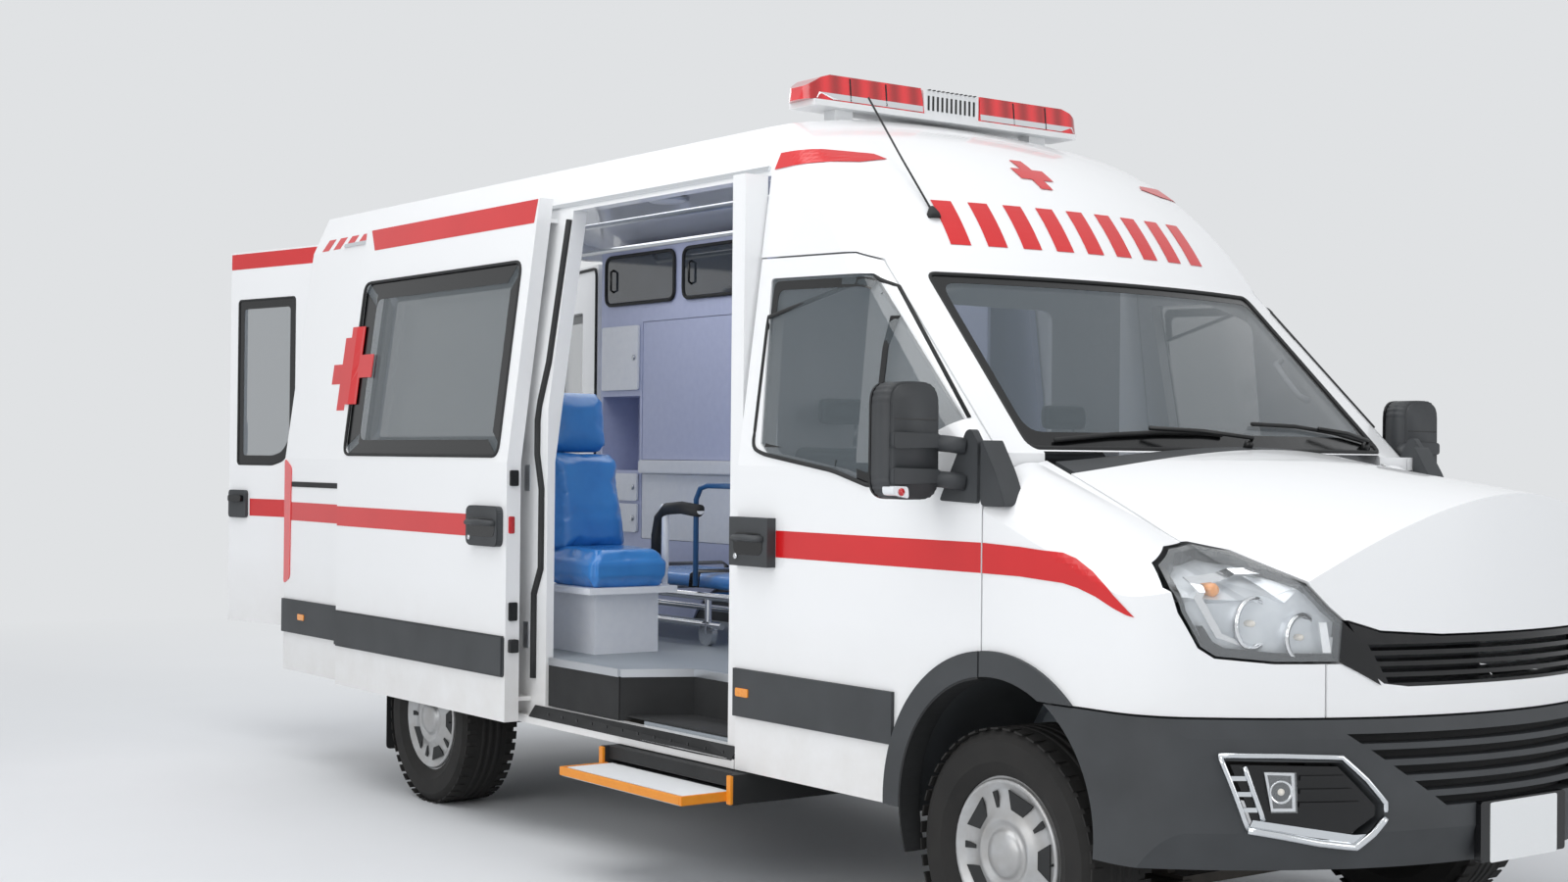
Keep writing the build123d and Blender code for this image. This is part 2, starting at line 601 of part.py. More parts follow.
# Sliding door, slid back and standing proud of the side
slide_y = half_width + 37
slide_front_x = front_x - 2620
slide_width = 1530
slide_door_rear_x = slide_front_x - slide_width
slide_lean = lean * (slide_top_z - belt_z)
with BuildPart() as sliding_door:
    with BuildSketch(Plane.YZ.offset(slide_door_rear_x)) as door_section:
        with BuildLine():
            Polyline((-slide_y, sill_z + 8), (-slide_y, belt_z), (-slide_y + slide_lean, slide_top_z + 50),
                     (-slide_y + slide_lean - wall, slide_top_z + 50), (-slide_y - wall, belt_z),
                     (-slide_y - wall, sill_z + 8), close=True)
        make_face()
    extrude(door_section.sketch, amount=slide_width)
    side_plate(slide_window, (-800, -1300), mode=Mode.SUBTRACT, corner=50)
    arm_top_z = slide_top_z - 30
    for arm_x, arm_z, body_y in (
        (slide_front_x - 60, slide_bottom_z + 20, half_width - slide_seat_depth),
        (slide_front_x - 60, arm_top_z, half_width - lean * (arm_top_z - belt_z)),
        (slide_door_rear_x + 120, 1300, half_width),
    ):
        arm_y = slide_y + 12 - lean * max(arm_z - belt_z, 0)
        block((arm_x - 40, arm_x + 40), (-arm_y, -body_y), (arm_z - 8, arm_z + 8))
    add(cabin, mode=Mode.SUBTRACT)
    block((slide_front_x - 100, slide_front_x - 20), (-slide_y - 5, -half_width + slide_seat_depth),
          (slide_bottom_z + 12, slide_bottom_z + 28))
save(sliding_door, "sliding_door")

with BuildPart() as slide_glass:
    with BuildSketch(Plane.YZ.offset(slide_door_rear_x)) as pane_section:
        with BuildLine():
            Polyline((-slide_y - wall + 8, belt_z), (-slide_y - wall + 8 + slide_lean, slide_top_z + 50),
                     (-slide_y - wall + 16 + slide_lean, slide_top_z + 50), (-slide_y - wall + 16, belt_z),
                     close=True)
        make_face()
    extrude(pane_section.sketch, amount=slide_width)
    side_plate(slide_window, (-800, -1300), mode=Mode.INTERSECT, corner=50)
save(slide_glass, "sliding_door_glass")

# Rear doors, built on a plane that stands through the hinge line and along the open leaf
for side, hand in ((-1, "right"), (1, "left")):
    hinge = (body_rear_x - rear_hinge_standoff, side * (rear_leaf_width + 9), 0)
    turn = radians(rear_open_angle)
    along = (-sin(turn), -side * cos(turn), 0)
    outward = (-cos(turn), side * sin(turn), 0)
    leaf_plane = Plane(origin=hinge, x_dir=along, z_dir=(outward[0] * side, outward[1] * side, 0))
    skin = leaf_plane.offset(-side * (rear_hinge_standoff - rear_leaf_proud))
    with BuildPart() as leaf:
        leaf_edge = rear_leaf_width + gap / 2
        plate(skin, [(gap, rear_leaf_bottom_z), (leaf_edge, rear_leaf_bottom_z), (leaf_edge, rear_leaf_top_z),
                     (gap, rear_leaf_top_z)], -side * rear_leaf_depth)
        plate(skin.offset(side * 10), leaf_window, -side * 100, mode=Mode.SUBTRACT, corner=20)
        for hinge_z in (800, 1300, 2300):
            strap = [(-6, hinge_z - 40), (40, hinge_z - 40), (40, hinge_z + 40), (-6, hinge_z + 40)]
            plate(leaf_plane.offset(side * 8), strap, -side * (rear_hinge_standoff + 8 - rear_leaf_proud))
    save(leaf, f"rear_door_{hand}")
    with BuildPart() as leaf_glass:
        plate(skin.offset(-side * 4), leaf_window, -side * 8, corner=20)
    save(leaf_glass, f"rear_door_glass_{hand}")

# Floor, bulkhead, dashboard and cab seats
well_rear_x = front_x - 1960
well_y = 700
well_sheet = 12
with BuildPart() as floor:
    block((body_rear_x + wall, front_x - 40), (-inner_y, inner_y), (floor_z - floor_thick, floor_z))
    plan_plate([(door_rear_x, -1200), (door_rear_x, -well_y), (well_rear_x + 70, -well_y),
                (well_rear_x - 60, -inner_y + 10), (well_rear_x - 60, -1200)], (floor_z - 100, floor_z + 10),
               mode=Mode.SUBTRACT)
    for axle_x in (front_x, rear_axle_x):
        inner_edge = 470 if axle_x == front_x else 598
        for side in (-1, 1):
            drum(axle_x, arch_z, arch_radius + 15, (side * inner_edge, side * 1200), mode=Mode.SUBTRACT)
    for side in (-1, 1):
        block((door_rear_x, front_x - 40), (side * 848, side * 1200), (floor_z - 100, floor_z + 10),
              mode=Mode.SUBTRACT)
    block((well_rear_x + 72, door_rear_x - 78), (-inner_y + 1, -well_y - 1),
          (slide_bottom_z, slide_bottom_z + well_sheet))
    block((well_rear_x + 72, door_rear_x - 78), (-well_y - well_sheet, -well_y - 1),
          (slide_bottom_z + well_sheet, floor_z - 1))
    block((slide_rear_x + 2, well_rear_x - 62), (-inner_y - 12, -inner_y), (slide_bottom_z + 1, floor_z))
save(floor, "floor")

with BuildPart() as bulkhead:
    block((door_rear_x - 60, door_rear_x - 40), (-806, 806), (floor_z, slide_top_z - 10))
    front_plate([(-250, 1500), (450, 1500), (450, 2000), (-250, 2000)], (door_rear_x - 100, door_rear_x),
                mode=Mode.SUBTRACT, corner=40)
save(bulkhead, "bulkhead")

with BuildPart() as dashboard:
    side_plate([(front_x - 58, 1000), (front_x - 58, 1410), (front_x - 330, 1400), (front_x - 420, 1290),
                (front_x - 360, 1000)], (-780, 780))
    wheel_plane = Plane(origin=(front_x - 560, 400, 1290), x_dir=(0, 1, 0), z_dir=(-0.85, 0, 0.53))
    rod((front_x - 330, 400, 1150), (front_x - 566, 400, 1295), 28)
    with BuildSketch(wheel_plane) as wheel_rim:
        Circle(215)
        Circle(188, mode=Mode.SUBTRACT)
        Rectangle(390, 36)
        Circle(60)
    extrude(wheel_rim.sketch, amount=24)
save(dashboard, "dashboard")

seat_rear_x = door_rear_x + 10
with BuildPart() as cab_seats:
    for seat_y, seat_width in ((420, 500), (-380, 880)):
        low_y, high_y = seat_y - seat_width / 2, seat_y + seat_width / 2
        block((seat_rear_x + 130, seat_rear_x + 620), (low_y + 40, high_y - 40), (floor_z, floor_z + 240))
        side_plate([(seat_rear_x + 110, 900), (seat_rear_x + 630, 930), (seat_rear_x + 630, 1060),
                    (seat_rear_x + 150, 1030), (seat_rear_x + 60, 1640), (seat_rear_x, 1640),
                    (seat_rear_x + 45, 980)], (low_y, high_y))
save(cab_seats, "cab_seats")

# Load space fittings
locker_face_y = 590
cabinet_rear_x = body_rear_x + wall + 175
cabinet_front_x = front_x - 1800
niche_front_x = cabinet_rear_x + 390
with BuildPart() as cabinets:
    block((cabinet_rear_x, cabinet_front_x), (locker_face_y, inner_y - 5), (floor_z, 1040))
    front_plate([(locker_face_y, 1040), (inner_y - 5, 1040), (inner_y - 5, belt_z - 20), (835, 2110),
                 (locker_face_y, 2110)], (cabinet_rear_x, niche_front_x))
    front_plate([(locker_face_y, 2110), (835, 2110), (802, 2380), (735, 2475), (locker_face_y, 2475)],
                (cabinet_rear_x, cabinet_front_x))
    front_plate([(inner_y - 40, 1040), (inner_y - 5, 1040), (inner_y - 5, belt_z - 20), (835, 2110),
                 (800, 2110), (inner_y - 40, belt_z - 20)], (niche_front_x, cabinet_front_x))
    block((cabinet_rear_x + 20, niche_front_x - 20), (locker_face_y - 5, 800), (1375, 1745),
          mode=Mode.SUBTRACT)
    drum(rear_axle_x, arch_z, arch_radius + 16, (400, 1200), mode=Mode.SUBTRACT)
save(cabinets, "cabinet_wall")

seat_y = -600
with BuildPart() as seat_base:
    block((front_x - 2930, front_x - 2560), (seat_y - 140, seat_y + 150), (floor_z, 915))
    block((front_x - 2950, front_x - 2500), (seat_y - 200, seat_y + 200), (915, 940))
    rod((front_x - 2640, seat_y + 232, 1000), (front_x - 2640, seat_y + 232, 1240), 15)
    rod((front_x - 2655, seat_y + 232, 1240), (front_x - 2390, seat_y + 232, 1240), 18)
    block((front_x - 2660, front_x - 2620), (seat_y + 150, seat_y + 240), (915, 939))
    rod((front_x - 2640, seat_y + 232, 920), (front_x - 2640, seat_y + 232, 1000), 12)
save(seat_base, "attendant_seat_base")

with BuildPart() as seat_cushions:
    block((front_x - 2900, front_x - 2360), (seat_y - 215, seat_y + 215), (941, 1080))
    side_plate([(front_x - 2900, 1081), (front_x - 2780, 1081), (front_x - 2870, 1470),
                (front_x - 3000, 1470)], (seat_y - 205, seat_y + 205))
    side_plate([(front_x - 2890, 1471), (front_x - 3000, 1471), (front_x - 3020, 1715),
                (front_x - 2920, 1715)], (seat_y - 150, seat_y + 150))
save(seat_cushions, "attendant_seat_cushions")

cot_length = 1950
cot_rear_x = body_rear_x + 655
cot_front_x = cot_rear_x + cot_length
cot_y = 120
cot_rail_y = 270
cot_rail_z = 880
cot_low_z = 765
castor_radius = 50
with BuildPart() as cot_frame:
    for side in (-1, 1):
        rail_at = cot_y + side * cot_rail_y
        rod((cot_rear_x, rail_at, cot_rail_z), (cot_front_x, rail_at, cot_rail_z), 16)
        rod((cot_rear_x + 200, rail_at, cot_low_z), (cot_front_x - 200, rail_at, cot_low_z), 14)
        for leg_x in (cot_rear_x + 300, cot_front_x - 300):
            rod((leg_x, rail_at, cot_rail_z), (leg_x, rail_at, floor_z + castor_radius), 14)
            drum(leg_x, floor_z + castor_radius, castor_radius, (rail_at - 13, rail_at + 13))
    for bar_at in (cot_rear_x + 20, cot_rear_x + 300, (cot_rear_x + cot_front_x) / 2, cot_front_x - 300,
                   cot_front_x - 20):
        rod((bar_at, cot_y - cot_rail_y, cot_rail_z), (bar_at, cot_y + cot_rail_y, cot_rail_z), 14)
save(cot_frame, "stretcher_frame")

with BuildPart() as cot_mattress:
    block((cot_rear_x + 40, cot_front_x - 40), (cot_y - cot_rail_y + 25, cot_y + cot_rail_y - 25),
          (cot_rail_z + 17, cot_rail_z + 87))
    fillet(cot_mattress.edges().filter_by(Axis.Z), radius=60)
save(cot_mattress, "stretcher_mattress")

# Under the floor
rail_y = 400
with BuildPart() as rear_step:
    block((body_rear_x - 75, body_rear_x), (-790, 790), (440, 545))
    fillet(rear_step.edges().filter_by(Axis.Z).sort_by(Axis.X)[:2], radius=50)

with BuildPart() as chassis:
    for side in (-1, 1):
        block((body_rear_x + 60, front_x + 780), (side * (rail_y - 40), side * (rail_y + 40)),
              (510, floor_z - floor_thick))
    for cross_x in (body_rear_x + 100, rear_axle_x - 500, rear_axle_x + 700, front_x - 1400, front_x - 700,
                    front_x + 740):
        block((cross_x - 35, cross_x + 35), (-rail_y, rail_y), (530, 610))
    for cross_x in (body_rear_x + 400, rear_axle_x + 800, door_rear_x + 90, front_x - 800):
        for side in (-1, 1):
            block((cross_x - 30, cross_x + 30), (side * rail_y, side * (inner_y - 95)),
                  (560, floor_z - floor_thick))
    add(rear_step.part)
save(chassis, "chassis_frame")

with BuildPart() as engine:
    block((front_x + 10, front_x + 640), (-310, 310), (515, 1160))
    block((front_x - 620, front_x - 140), (-140, 140), (430, 625))
    block((front_x - 140, front_x + 10), (-140, 140), (515, 625))
save(engine, "engine_block")

with BuildPart() as fuel_tank:
    block((front_x - 2500, front_x - 1560), (460, 840), (290, 560))
    fillet(fuel_tank.edges(), radius=40)
save(fuel_tank, "fuel_tank")

exhaust_y = -250
exhaust_z = 430
exhaust_radius = 32
with BuildPart() as exhaust:
    bend = (rear_axle_x + 570, exhaust_y, exhaust_z)
    rod((front_x - 1000, exhaust_y, exhaust_z), bend, exhaust_radius)
    rod((bend[0] + 850, exhaust_y, exhaust_z), (bend[0] + 200, exhaust_y, exhaust_z), 95)
    with Locations(bend):
        Sphere(exhaust_radius)
    rod(bend, (bend[0] - 40, exhaust_y - 180, exhaust_z - 100), exhaust_radius)
save(exhaust, "exhaust")

# Side step: a board that slides out between two guides under the sill
step_rear_x = front_x - 1950
step_front_x = front_x - 1200
step_reach = 1240
with BuildPart() as step_housing:
    block((step_rear_x - 30, step_front_x + 30), (-1040, -500), (380, 425))
    for guide_x in (step_rear_x - 30, step_front_x + 8):
        block((guide_x, guide_x + 22), (-1060, -500), (328, 425))
    for post_x in (step_rear_x + 40, step_front_x - 40):
        block((post_x - 25, post_x + 25), (-560, -505), (425, floor_z - floor_thick))
save(step_housing, "step_housing")

with BuildPart() as step_board:
    block((step_rear_x, step_front_x), (-step_reach, -step_reach + 560), (338, 366))
    fillet(step_board.edges().filter_by(Axis.Z), radius=12)
save(step_board, "step_board")

# Axles
king_y = track / 2
hub_y = king_y + 40
spindle_radius = 28
running = 0.05
with BuildPart() as front_beam:
    block((front_x - 60, front_x + 60), (-rail_y - 40, rail_y + 40), (430, 509))
    for side in (-1, 1):
        for arm_z in (axle_z - 140, axle_z + 122):
            plan_plate([(front_x - 130, side * 330), (front_x + 130, side * 330),
                        (front_x + 26, side * (king_y + 24)), (front_x - 26, side * (king_y + 24))],
                       (arm_z, arm_z + 18))
        rod((front_x, side * king_y, axle_z - 122), (front_x, side * king_y, axle_z - 100), 10)
        rod((front_x, side * king_y, axle_z + 122), (front_x, side * king_y, axle_z + 100), 10)
    block((front_x - 120, front_x + 120), (-360, 360), (axle_z - 140, axle_z - 110))
    for side in (-1, 1):
        block((front_x - 60, front_x + 60), (side * 330, side * 360), (axle_z - 120, 440))
save(front_beam, "front_suspension")

with BuildPart() as rear_axle:
    rod((rear_axle_x, -king_y + 90, axle_z), (rear_axle_x, king_y - 90, axle_z), 48)
    with Locations((rear_axle_x, 0, axle_z)):
        Sphere(150)
    for side in (-1, 1):
        rod((rear_axle_x, side * (king_y - 90), axle_z), (rear_axle_x, side * (king_y - 70), axle_z), 150)
        rod((rear_axle_x, side * (king_y - 70), axle_z), (rear_axle_x, side * (hub_y + 20), axle_z),
            spindle_radius)
        side_plate([(rear_axle_x - 780, 480), (rear_axle_x - 700, 480), (rear_axle_x, 400),
                    (rear_axle_x + 700, 480), (rear_axle_x + 780, 480), (rear_axle_x, 380)],
                   (side * 465, side * 535))
        for eye_x in (rear_axle_x - 740, rear_axle_x + 740):
            block((eye_x - 40, eye_x + 40), (side * 441, side * 535), (470, 560))
        block((rear_axle_x - 60, rear_axle_x + 60), (side * 465, side * 535), (axle_z + 20, 390))
    rod((rear_axle_x + 100, 0, axle_z), (front_x - 624, 0, 470), 38)
save(rear_axle, "rear_axle")

for side, hand in ((-1, "right"), (1, "left")):
    with BuildPart() as knuckle:
        block((front_x - 42, front_x + 42), (side * (king_y - 25), side * (king_y + 25)),
              (axle_z - 120, axle_z + 120))
        rod((front_x, side * king_y, axle_z - 121), (front_x, side * king_y, axle_z - 98), 10 + running,
            mode=Mode.SUBTRACT)
        rod((front_x, side * king_y, axle_z + 98), (front_x, side * king_y, axle_z + 121), 10 + running,
            mode=Mode.SUBTRACT)
        rod((front_x, side * (king_y + 20), axle_z), (front_x, side * (hub_y + 40), axle_z), spindle_radius)
    save(knuckle, f"knuckle_{hand}")

# Wheels: a pressed rim with a pierced cover, and a tyre
cover_y = tyre_width / 2 - 22
for axle_x, place in ((front_x, "front"), (rear_axle_x, "rear")):
    for side, hand in ((-1, "right"), (1, "left")):
        centre = Plane(origin=(axle_x, side * track / 2, axle_z), x_dir=(1, 0, 0), z_dir=(0, side, 0))
        with BuildPart() as rim:
            with BuildSketch(centre.offset(-rim_width / 2)) as barrel:
                Circle(rim_radius)
                Circle(rim_radius - 12, mode=Mode.SUBTRACT)
            extrude(barrel.sketch, amount=rim_width)
            with BuildSketch(centre.offset(cover_y - 26)) as cover:
                Circle(rim_radius - 6)
                with PolarLocations(165, 8):
                    SlotOverall(70, 26, rotation=90, mode=Mode.SUBTRACT)
            extrude(cover.sketch, amount=14)
            with BuildSketch(centre.offset(hub_y - king_y)) as hub:
                Circle(95)
            extrude(hub.sketch, amount=cover_y - hub_y + king_y)
            with BuildSketch(centre.offset(hub_y - king_y - 1)) as bore:
                Circle(spindle_radius + running)
            extrude(bore.sketch, amount=43, mode=Mode.SUBTRACT)
        save(rim, f"wheel_{place}_{hand}")
        with BuildPart() as tyre:
            with BuildSketch(Plane(origin=(axle_x, side * track / 2, axle_z))) as section:
                with BuildLine():
                    half = tyre_width / 2
                    Polyline((rim_radius, -half + 22), (rim_radius + 40, -half), (tyre_radius - 34, -half),
                             (tyre_radius - 6, -half + 22), (tyre_radius, -half + 50),
                             (tyre_radius, half - 50), (tyre_radius - 6, half - 22),
                             (tyre_radius - 34, half), (rim_radius + 40, half),
                             (rim_radius, half - 22), close=True)
                make_face()
            revolve(section.sketch, axis=Axis((axle_x, 0, axle_z), (0, 1, 0)))
        save(tyre, f"tyre_{place}_{hand}")
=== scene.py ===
from math import cos, pi, radians, sin, sqrt

import bmesh
import bpy
import numpy as np
from mathutils import Matrix, Vector
from mathutils.bvhtree import BVHTree


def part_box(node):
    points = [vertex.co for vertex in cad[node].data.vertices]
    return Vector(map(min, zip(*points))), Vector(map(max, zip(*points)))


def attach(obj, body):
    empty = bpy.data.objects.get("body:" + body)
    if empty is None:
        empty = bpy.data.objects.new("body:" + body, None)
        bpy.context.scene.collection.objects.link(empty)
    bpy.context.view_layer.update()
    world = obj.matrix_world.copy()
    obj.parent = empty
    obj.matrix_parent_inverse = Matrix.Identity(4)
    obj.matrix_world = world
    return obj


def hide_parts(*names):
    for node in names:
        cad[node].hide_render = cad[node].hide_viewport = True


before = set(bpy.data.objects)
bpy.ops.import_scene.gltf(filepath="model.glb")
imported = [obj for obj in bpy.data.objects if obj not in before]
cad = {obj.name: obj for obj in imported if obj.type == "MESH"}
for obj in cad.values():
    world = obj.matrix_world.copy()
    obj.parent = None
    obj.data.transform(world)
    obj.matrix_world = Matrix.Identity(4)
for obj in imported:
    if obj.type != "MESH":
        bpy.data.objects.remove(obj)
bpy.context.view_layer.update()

# Ground: a plain pale studio floor that runs up to a backdrop of the same colour.
# It carries the vehicle's shadow and is not part of the vehicle.


def linear(code):
    """An sRGB hex colour as linear RGBA."""
    parts = [int(code[i:i + 2], 16) / 255 for i in (1, 3, 5)]
    return tuple(c / 12.92 if c <= 0.04045 else ((c + 0.055) / 1.055) ** 2.4 for c in parts) + (1.0,)


def node(tree, kind, inputs=None, **settings):
    """Adds a node with its settings, its plain values and its links."""
    made = tree.nodes.new(kind)
    for key, value in settings.items():
        setattr(made, key, value)
    for key, value in (inputs or {}).items():
        if isinstance(value, bpy.types.NodeSocket):
            tree.links.new(value, made.inputs[key])
        else:
            made.inputs[key].default_value = value
    return made


def blank_material(name):
    """A material with a Principled shader and nothing else."""
    made = bpy.data.materials.new(name)
    made.use_nodes = True
    made.node_tree.nodes.clear()
    shader = node(made.node_tree, "ShaderNodeBsdfPrincipled")
    node(made.node_tree, "ShaderNodeOutputMaterial", {"Surface": shader.outputs[0]})
    return made, made.node_tree, shader


def mesh_object(name, verts, faces):
    """An object whose mesh is in the vehicle's frame."""
    mesh = bpy.data.meshes.new(name)
    mesh.from_pydata([tuple(v) for v in verts], [], faces)
    mesh.validate()
    made = bpy.data.objects.new(name, mesh)
    bpy.context.scene.collection.objects.link(made)
    return made


floor_size = 60
fade_from, fade_to = 3.5, 11.0
floor = mesh_object("studio_floor", [(floor_size * x, floor_size * y, 0)
                                     for x, y in ((-1, -1), (1, -1), (1, 1), (-1, 1))], [(0, 1, 2, 3)])
floor_paint, tree, shader = blank_material("painted_studio_floor")
grit = node(tree, "ShaderNodeTexNoise", {"Scale": 90.0, "Detail": 4.0})
tone = node(tree, "ShaderNodeMixRGB",
            {"Fac": grit.outputs[0], "Color1": linear("#DCDEE0"), "Color2": linear("#E4E6E8")})
tree.links.new(tone.outputs[0], shader.inputs["Base Color"])
shader.inputs["Roughness"].default_value = 0.7
where = node(tree, "ShaderNodeTexCoord")
away = node(tree, "ShaderNodeVectorMath", {0: where.outputs["Object"]}, operation="LENGTH")
fade = node(tree, "ShaderNodeMapRange",
            {"Value": away.outputs["Value"], "From Min": fade_from, "From Max": fade_to})
haze = node(tree, "ShaderNodeEmission", {"Color": linear("#E0E2E4"), "Strength": 1.0})
blend = node(tree, "ShaderNodeMixShader", {0: fade.outputs[0], 1: shader.outputs[0], 2: haze.outputs[0]})
node(tree, "ShaderNodeOutputMaterial", {"Surface": blend.outputs[0]}).is_active_output = True
floor.data.materials.append(floor_paint)

world = bpy.data.worlds.new("studio")
bpy.context.scene.world = world
world.use_nodes = True
tree = world.node_tree
tree.nodes.clear()
rays = node(tree, "ShaderNodeLightPath")
seen = node(tree, "ShaderNodeMath", {0: rays.outputs["Is Camera Ray"], 1: rays.outputs["Is Glossy Ray"]},
            operation="MAXIMUM")
seen = node(tree, "ShaderNodeMath", {0: seen.outputs[0], 1: rays.outputs["Is Transmission Ray"]},
            operation="MAXIMUM")
lit = node(tree, "ShaderNodeBackground", {"Color": linear("#F7FAFF"), "Strength": 0.5})
pale = node(tree, "ShaderNodeBackground", {"Color": linear("#E0E2E4"), "Strength": 1.0})
mix = node(tree, "ShaderNodeMixShader", {0: seen.outputs[0], 1: lit.outputs[0], 2: pale.outputs[0]})
node(tree, "ShaderNodeOutputWorld", {"Surface": mix.outputs[0]})

bpy.context.scene.view_settings.view_transform = "Standard"


def softbox(name, place, target, size, watts):
    """A square soft lamp aimed at a point."""
    lamp = bpy.data.lights.new(name, "AREA")
    lamp.shape = "RECTANGLE"
    lamp.size, lamp.size_y = size
    lamp.energy = watts
    made = bpy.data.objects.new(name, lamp)
    made.location = place
    made.rotation_euler = (Vector(target) - Vector(place)).to_track_quat("-Z", "Y").to_euler()
    bpy.context.scene.collection.objects.link(made)


for name, place, target, size, watts in (
    ("sky_lamp", (1.5, -3.0, 8.5), (0.0, 0.0, 1.0), (9.0, 6.0), 400),
    ("side_lamp", (3.5, -9.0, 4.0), (0.5, 0.0, 1.2), (8.0, 4.5), 235),
    ("nose_lamp", (10.5, 2.5, 3.2), (2.0, 0.0, 1.2), (5.0, 4.0), 130),
    ("back_lamp", (-10.0, 4.0, 5.0), (-1.0, 0.0, 1.5), (6.0, 4.0), 190),
    ("load_space_lamp", (-0.7, 0.05, 2.54), (-0.7, 0.0, 0.8), (2.4, 0.7), 10),
):
    softbox(name, place, target, size, watts)

# Camera: eye height of a person beside the right front wheel, as in the photograph.
front_box, rear_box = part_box("wheel_front_right"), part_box("wheel_rear_right")
front_x = (front_box[0][0] + front_box[1][0]) / 2
rear_x = (rear_box[0][0] + rear_box[1][0]) / 2
axle_z = (front_box[0][2] + front_box[1][2]) / 2
yaw, pitch, roll = radians(36.41), radians(0.43), radians(0.55)
ahead = Vector((-cos(yaw) * cos(pitch), sin(yaw) * cos(pitch), sin(pitch)))
level = ahead.cross(Vector((0, 0, 1))).normalized()
upward = level.cross(ahead)
across = cos(roll) * level + sin(roll) * upward
above = -sin(roll) * level + cos(roll) * upward
camera_data = bpy.data.cameras.new("camera")
camera_data.lens = 47.05
camera_data.sensor_width = 36
camera_data.clip_end = 200
camera = bpy.data.objects.new("camera", camera_data)
bpy.context.scene.collection.objects.link(camera)
eye = Vector((front_x + 4.230, -4.850, 1.452))
camera.matrix_world = Matrix([(across[k], above[k], -ahead[k], eye[k]) for k in range(3)] + [(0, 0, 0, 1)])
bpy.context.scene.camera = camera

# Body shell: pressed steel sheet, spot welded, dipped and sprayed white with a clear coat over it.
# Roof, sides, pillars, wings, bonnet and doors share the one paint, with road film along the sills.


def coords(tree, scale=(1, 1, 1)):
    """The object's own coordinates, which are the vehicle's, in metres."""
    where = node(tree, "ShaderNodeTexCoord")
    return node(tree, "ShaderNodeMapping", {"Vector": where.outputs["Object"], "Scale": scale}).outputs[0]


def per_mm(size):
    """A noise scale whose lumps are about this many millimetres."""
    return 1000 / size


def grime(tree, clean, dirt, low, high, amount):
    """Dirt that thins out from one height to another."""
    where = node(tree, "ShaderNodeSeparateXYZ", {0: coords(tree)})
    fade = node(tree, "ShaderNodeMapRange", {"Value": where.outputs[2], "From Min": low, "From Max": high,
                                             "To Min": amount, "To Max": 0.0})
    blotch = node(tree, "ShaderNodeTexNoise",
                  {"Vector": coords(tree), "Scale": per_mm(160), "Detail": 6.0, "Roughness": 0.65})
    part = node(tree, "ShaderNodeMath", {0: fade.outputs[0], 1: blotch.outputs[0]}, operation="MULTIPLY",
                use_clamp=True)
    return node(tree, "ShaderNodeMix", {0: part.outputs[0], 6: linear(clean), 7: linear(dirt)},
                data_type="RGBA").outputs[2]


def finish(name, even, patterns=()):
    """A material: what is even all over, and patterns with a size in mm that tint, dull or emboss it.

    A tint has two colours, a roughness its two ends, and a relief its depth in mm and its strength.
    """
    made, tree, shader = blank_material(name)
    for socket, value in even.items():
        if callable(value):
            tree.links.new(value(tree), shader.inputs[socket])
        else:
            shader.inputs[socket].default_value = linear(value) if isinstance(value, str) else value
    for kind, size, settings, uses in patterns:
        pattern = node(tree, "ShaderNodeTex" + kind,
                       {"Vector": coords(tree), "Scale": per_mm(size), **settings})
        height = pattern.outputs[0]
        for socket, (low, high) in uses.items():
            if socket == "Base Color":
                tint = node(tree, "ShaderNodeMix", {0: height, 6: linear(low), 7: linear(high)},
                            data_type="RGBA")
                tree.links.new(tint.outputs[2], shader.inputs[socket])
            elif socket == "Roughness":
                rough = node(tree, "ShaderNodeMapRange", {"Value": height, "To Min": low, "To Max": high})
                tree.links.new(rough.outputs[0], shader.inputs[socket])
            else:
                relief = node(tree, "ShaderNodeBump",
                              {"Height": height, "Distance": low / 1000, "Strength": high})
                tree.links.new(relief.outputs[0], shader.inputs[socket])
    return made


def dress(material, *names):
    """Gives CAD nodes their finish."""
    for name in names:
        mesh = cad[name].data
        mesh.materials.clear()
        mesh.materials.append(material)


# Two-pack white enamel under clear lacquer: bright, faintly cool, with soft orange peel in its gloss.
white_enamel = finish("white_body_enamel", {
    "Base Color": lambda tree: grime(tree, "#F3F4F5", "#B9AFA0", 0.35, 0.95, 0.55), "Roughness": 0.32,
    "Coat Weight": 0.7, "Coat Roughness": 0.06}, [
    ("Noise", 9, {"Detail": 2.0}, {"Normal": (0.12, 0.25)})])
dress(white_enamel, "roof", "side_panel_right", "side_panel_left", "cab_front_frame", "bonnet", "front_wings",
      "nose_panel", "front_door_right", "front_door_left", "sliding_door", "rear_door_right",
      "rear_door_left")

# Glass: laminated windscreen and tempered side panes, tinted a light grey green when they are cast.
# They are bonded in with black urethane behind a black printed border.
tinted_glass = finish("tempered_tinted_glass", {"Base Color": "#43525A", "Roughness": 0.03, "Alpha": 0.42,
                                                "Specular IOR Level": 0.9, "Coat Weight": 1.0,
                                                "Coat Roughness": 0.02},
                      [("Noise", 300, {"Detail": 3.0}, {"Roughness": (0.02, 0.07)})])
dress(tinted_glass, "windscreen", "front_door_glass_right", "front_door_glass_left", "side_windows",
      "sliding_door_glass", "rear_door_glass_right", "rear_door_glass_left")

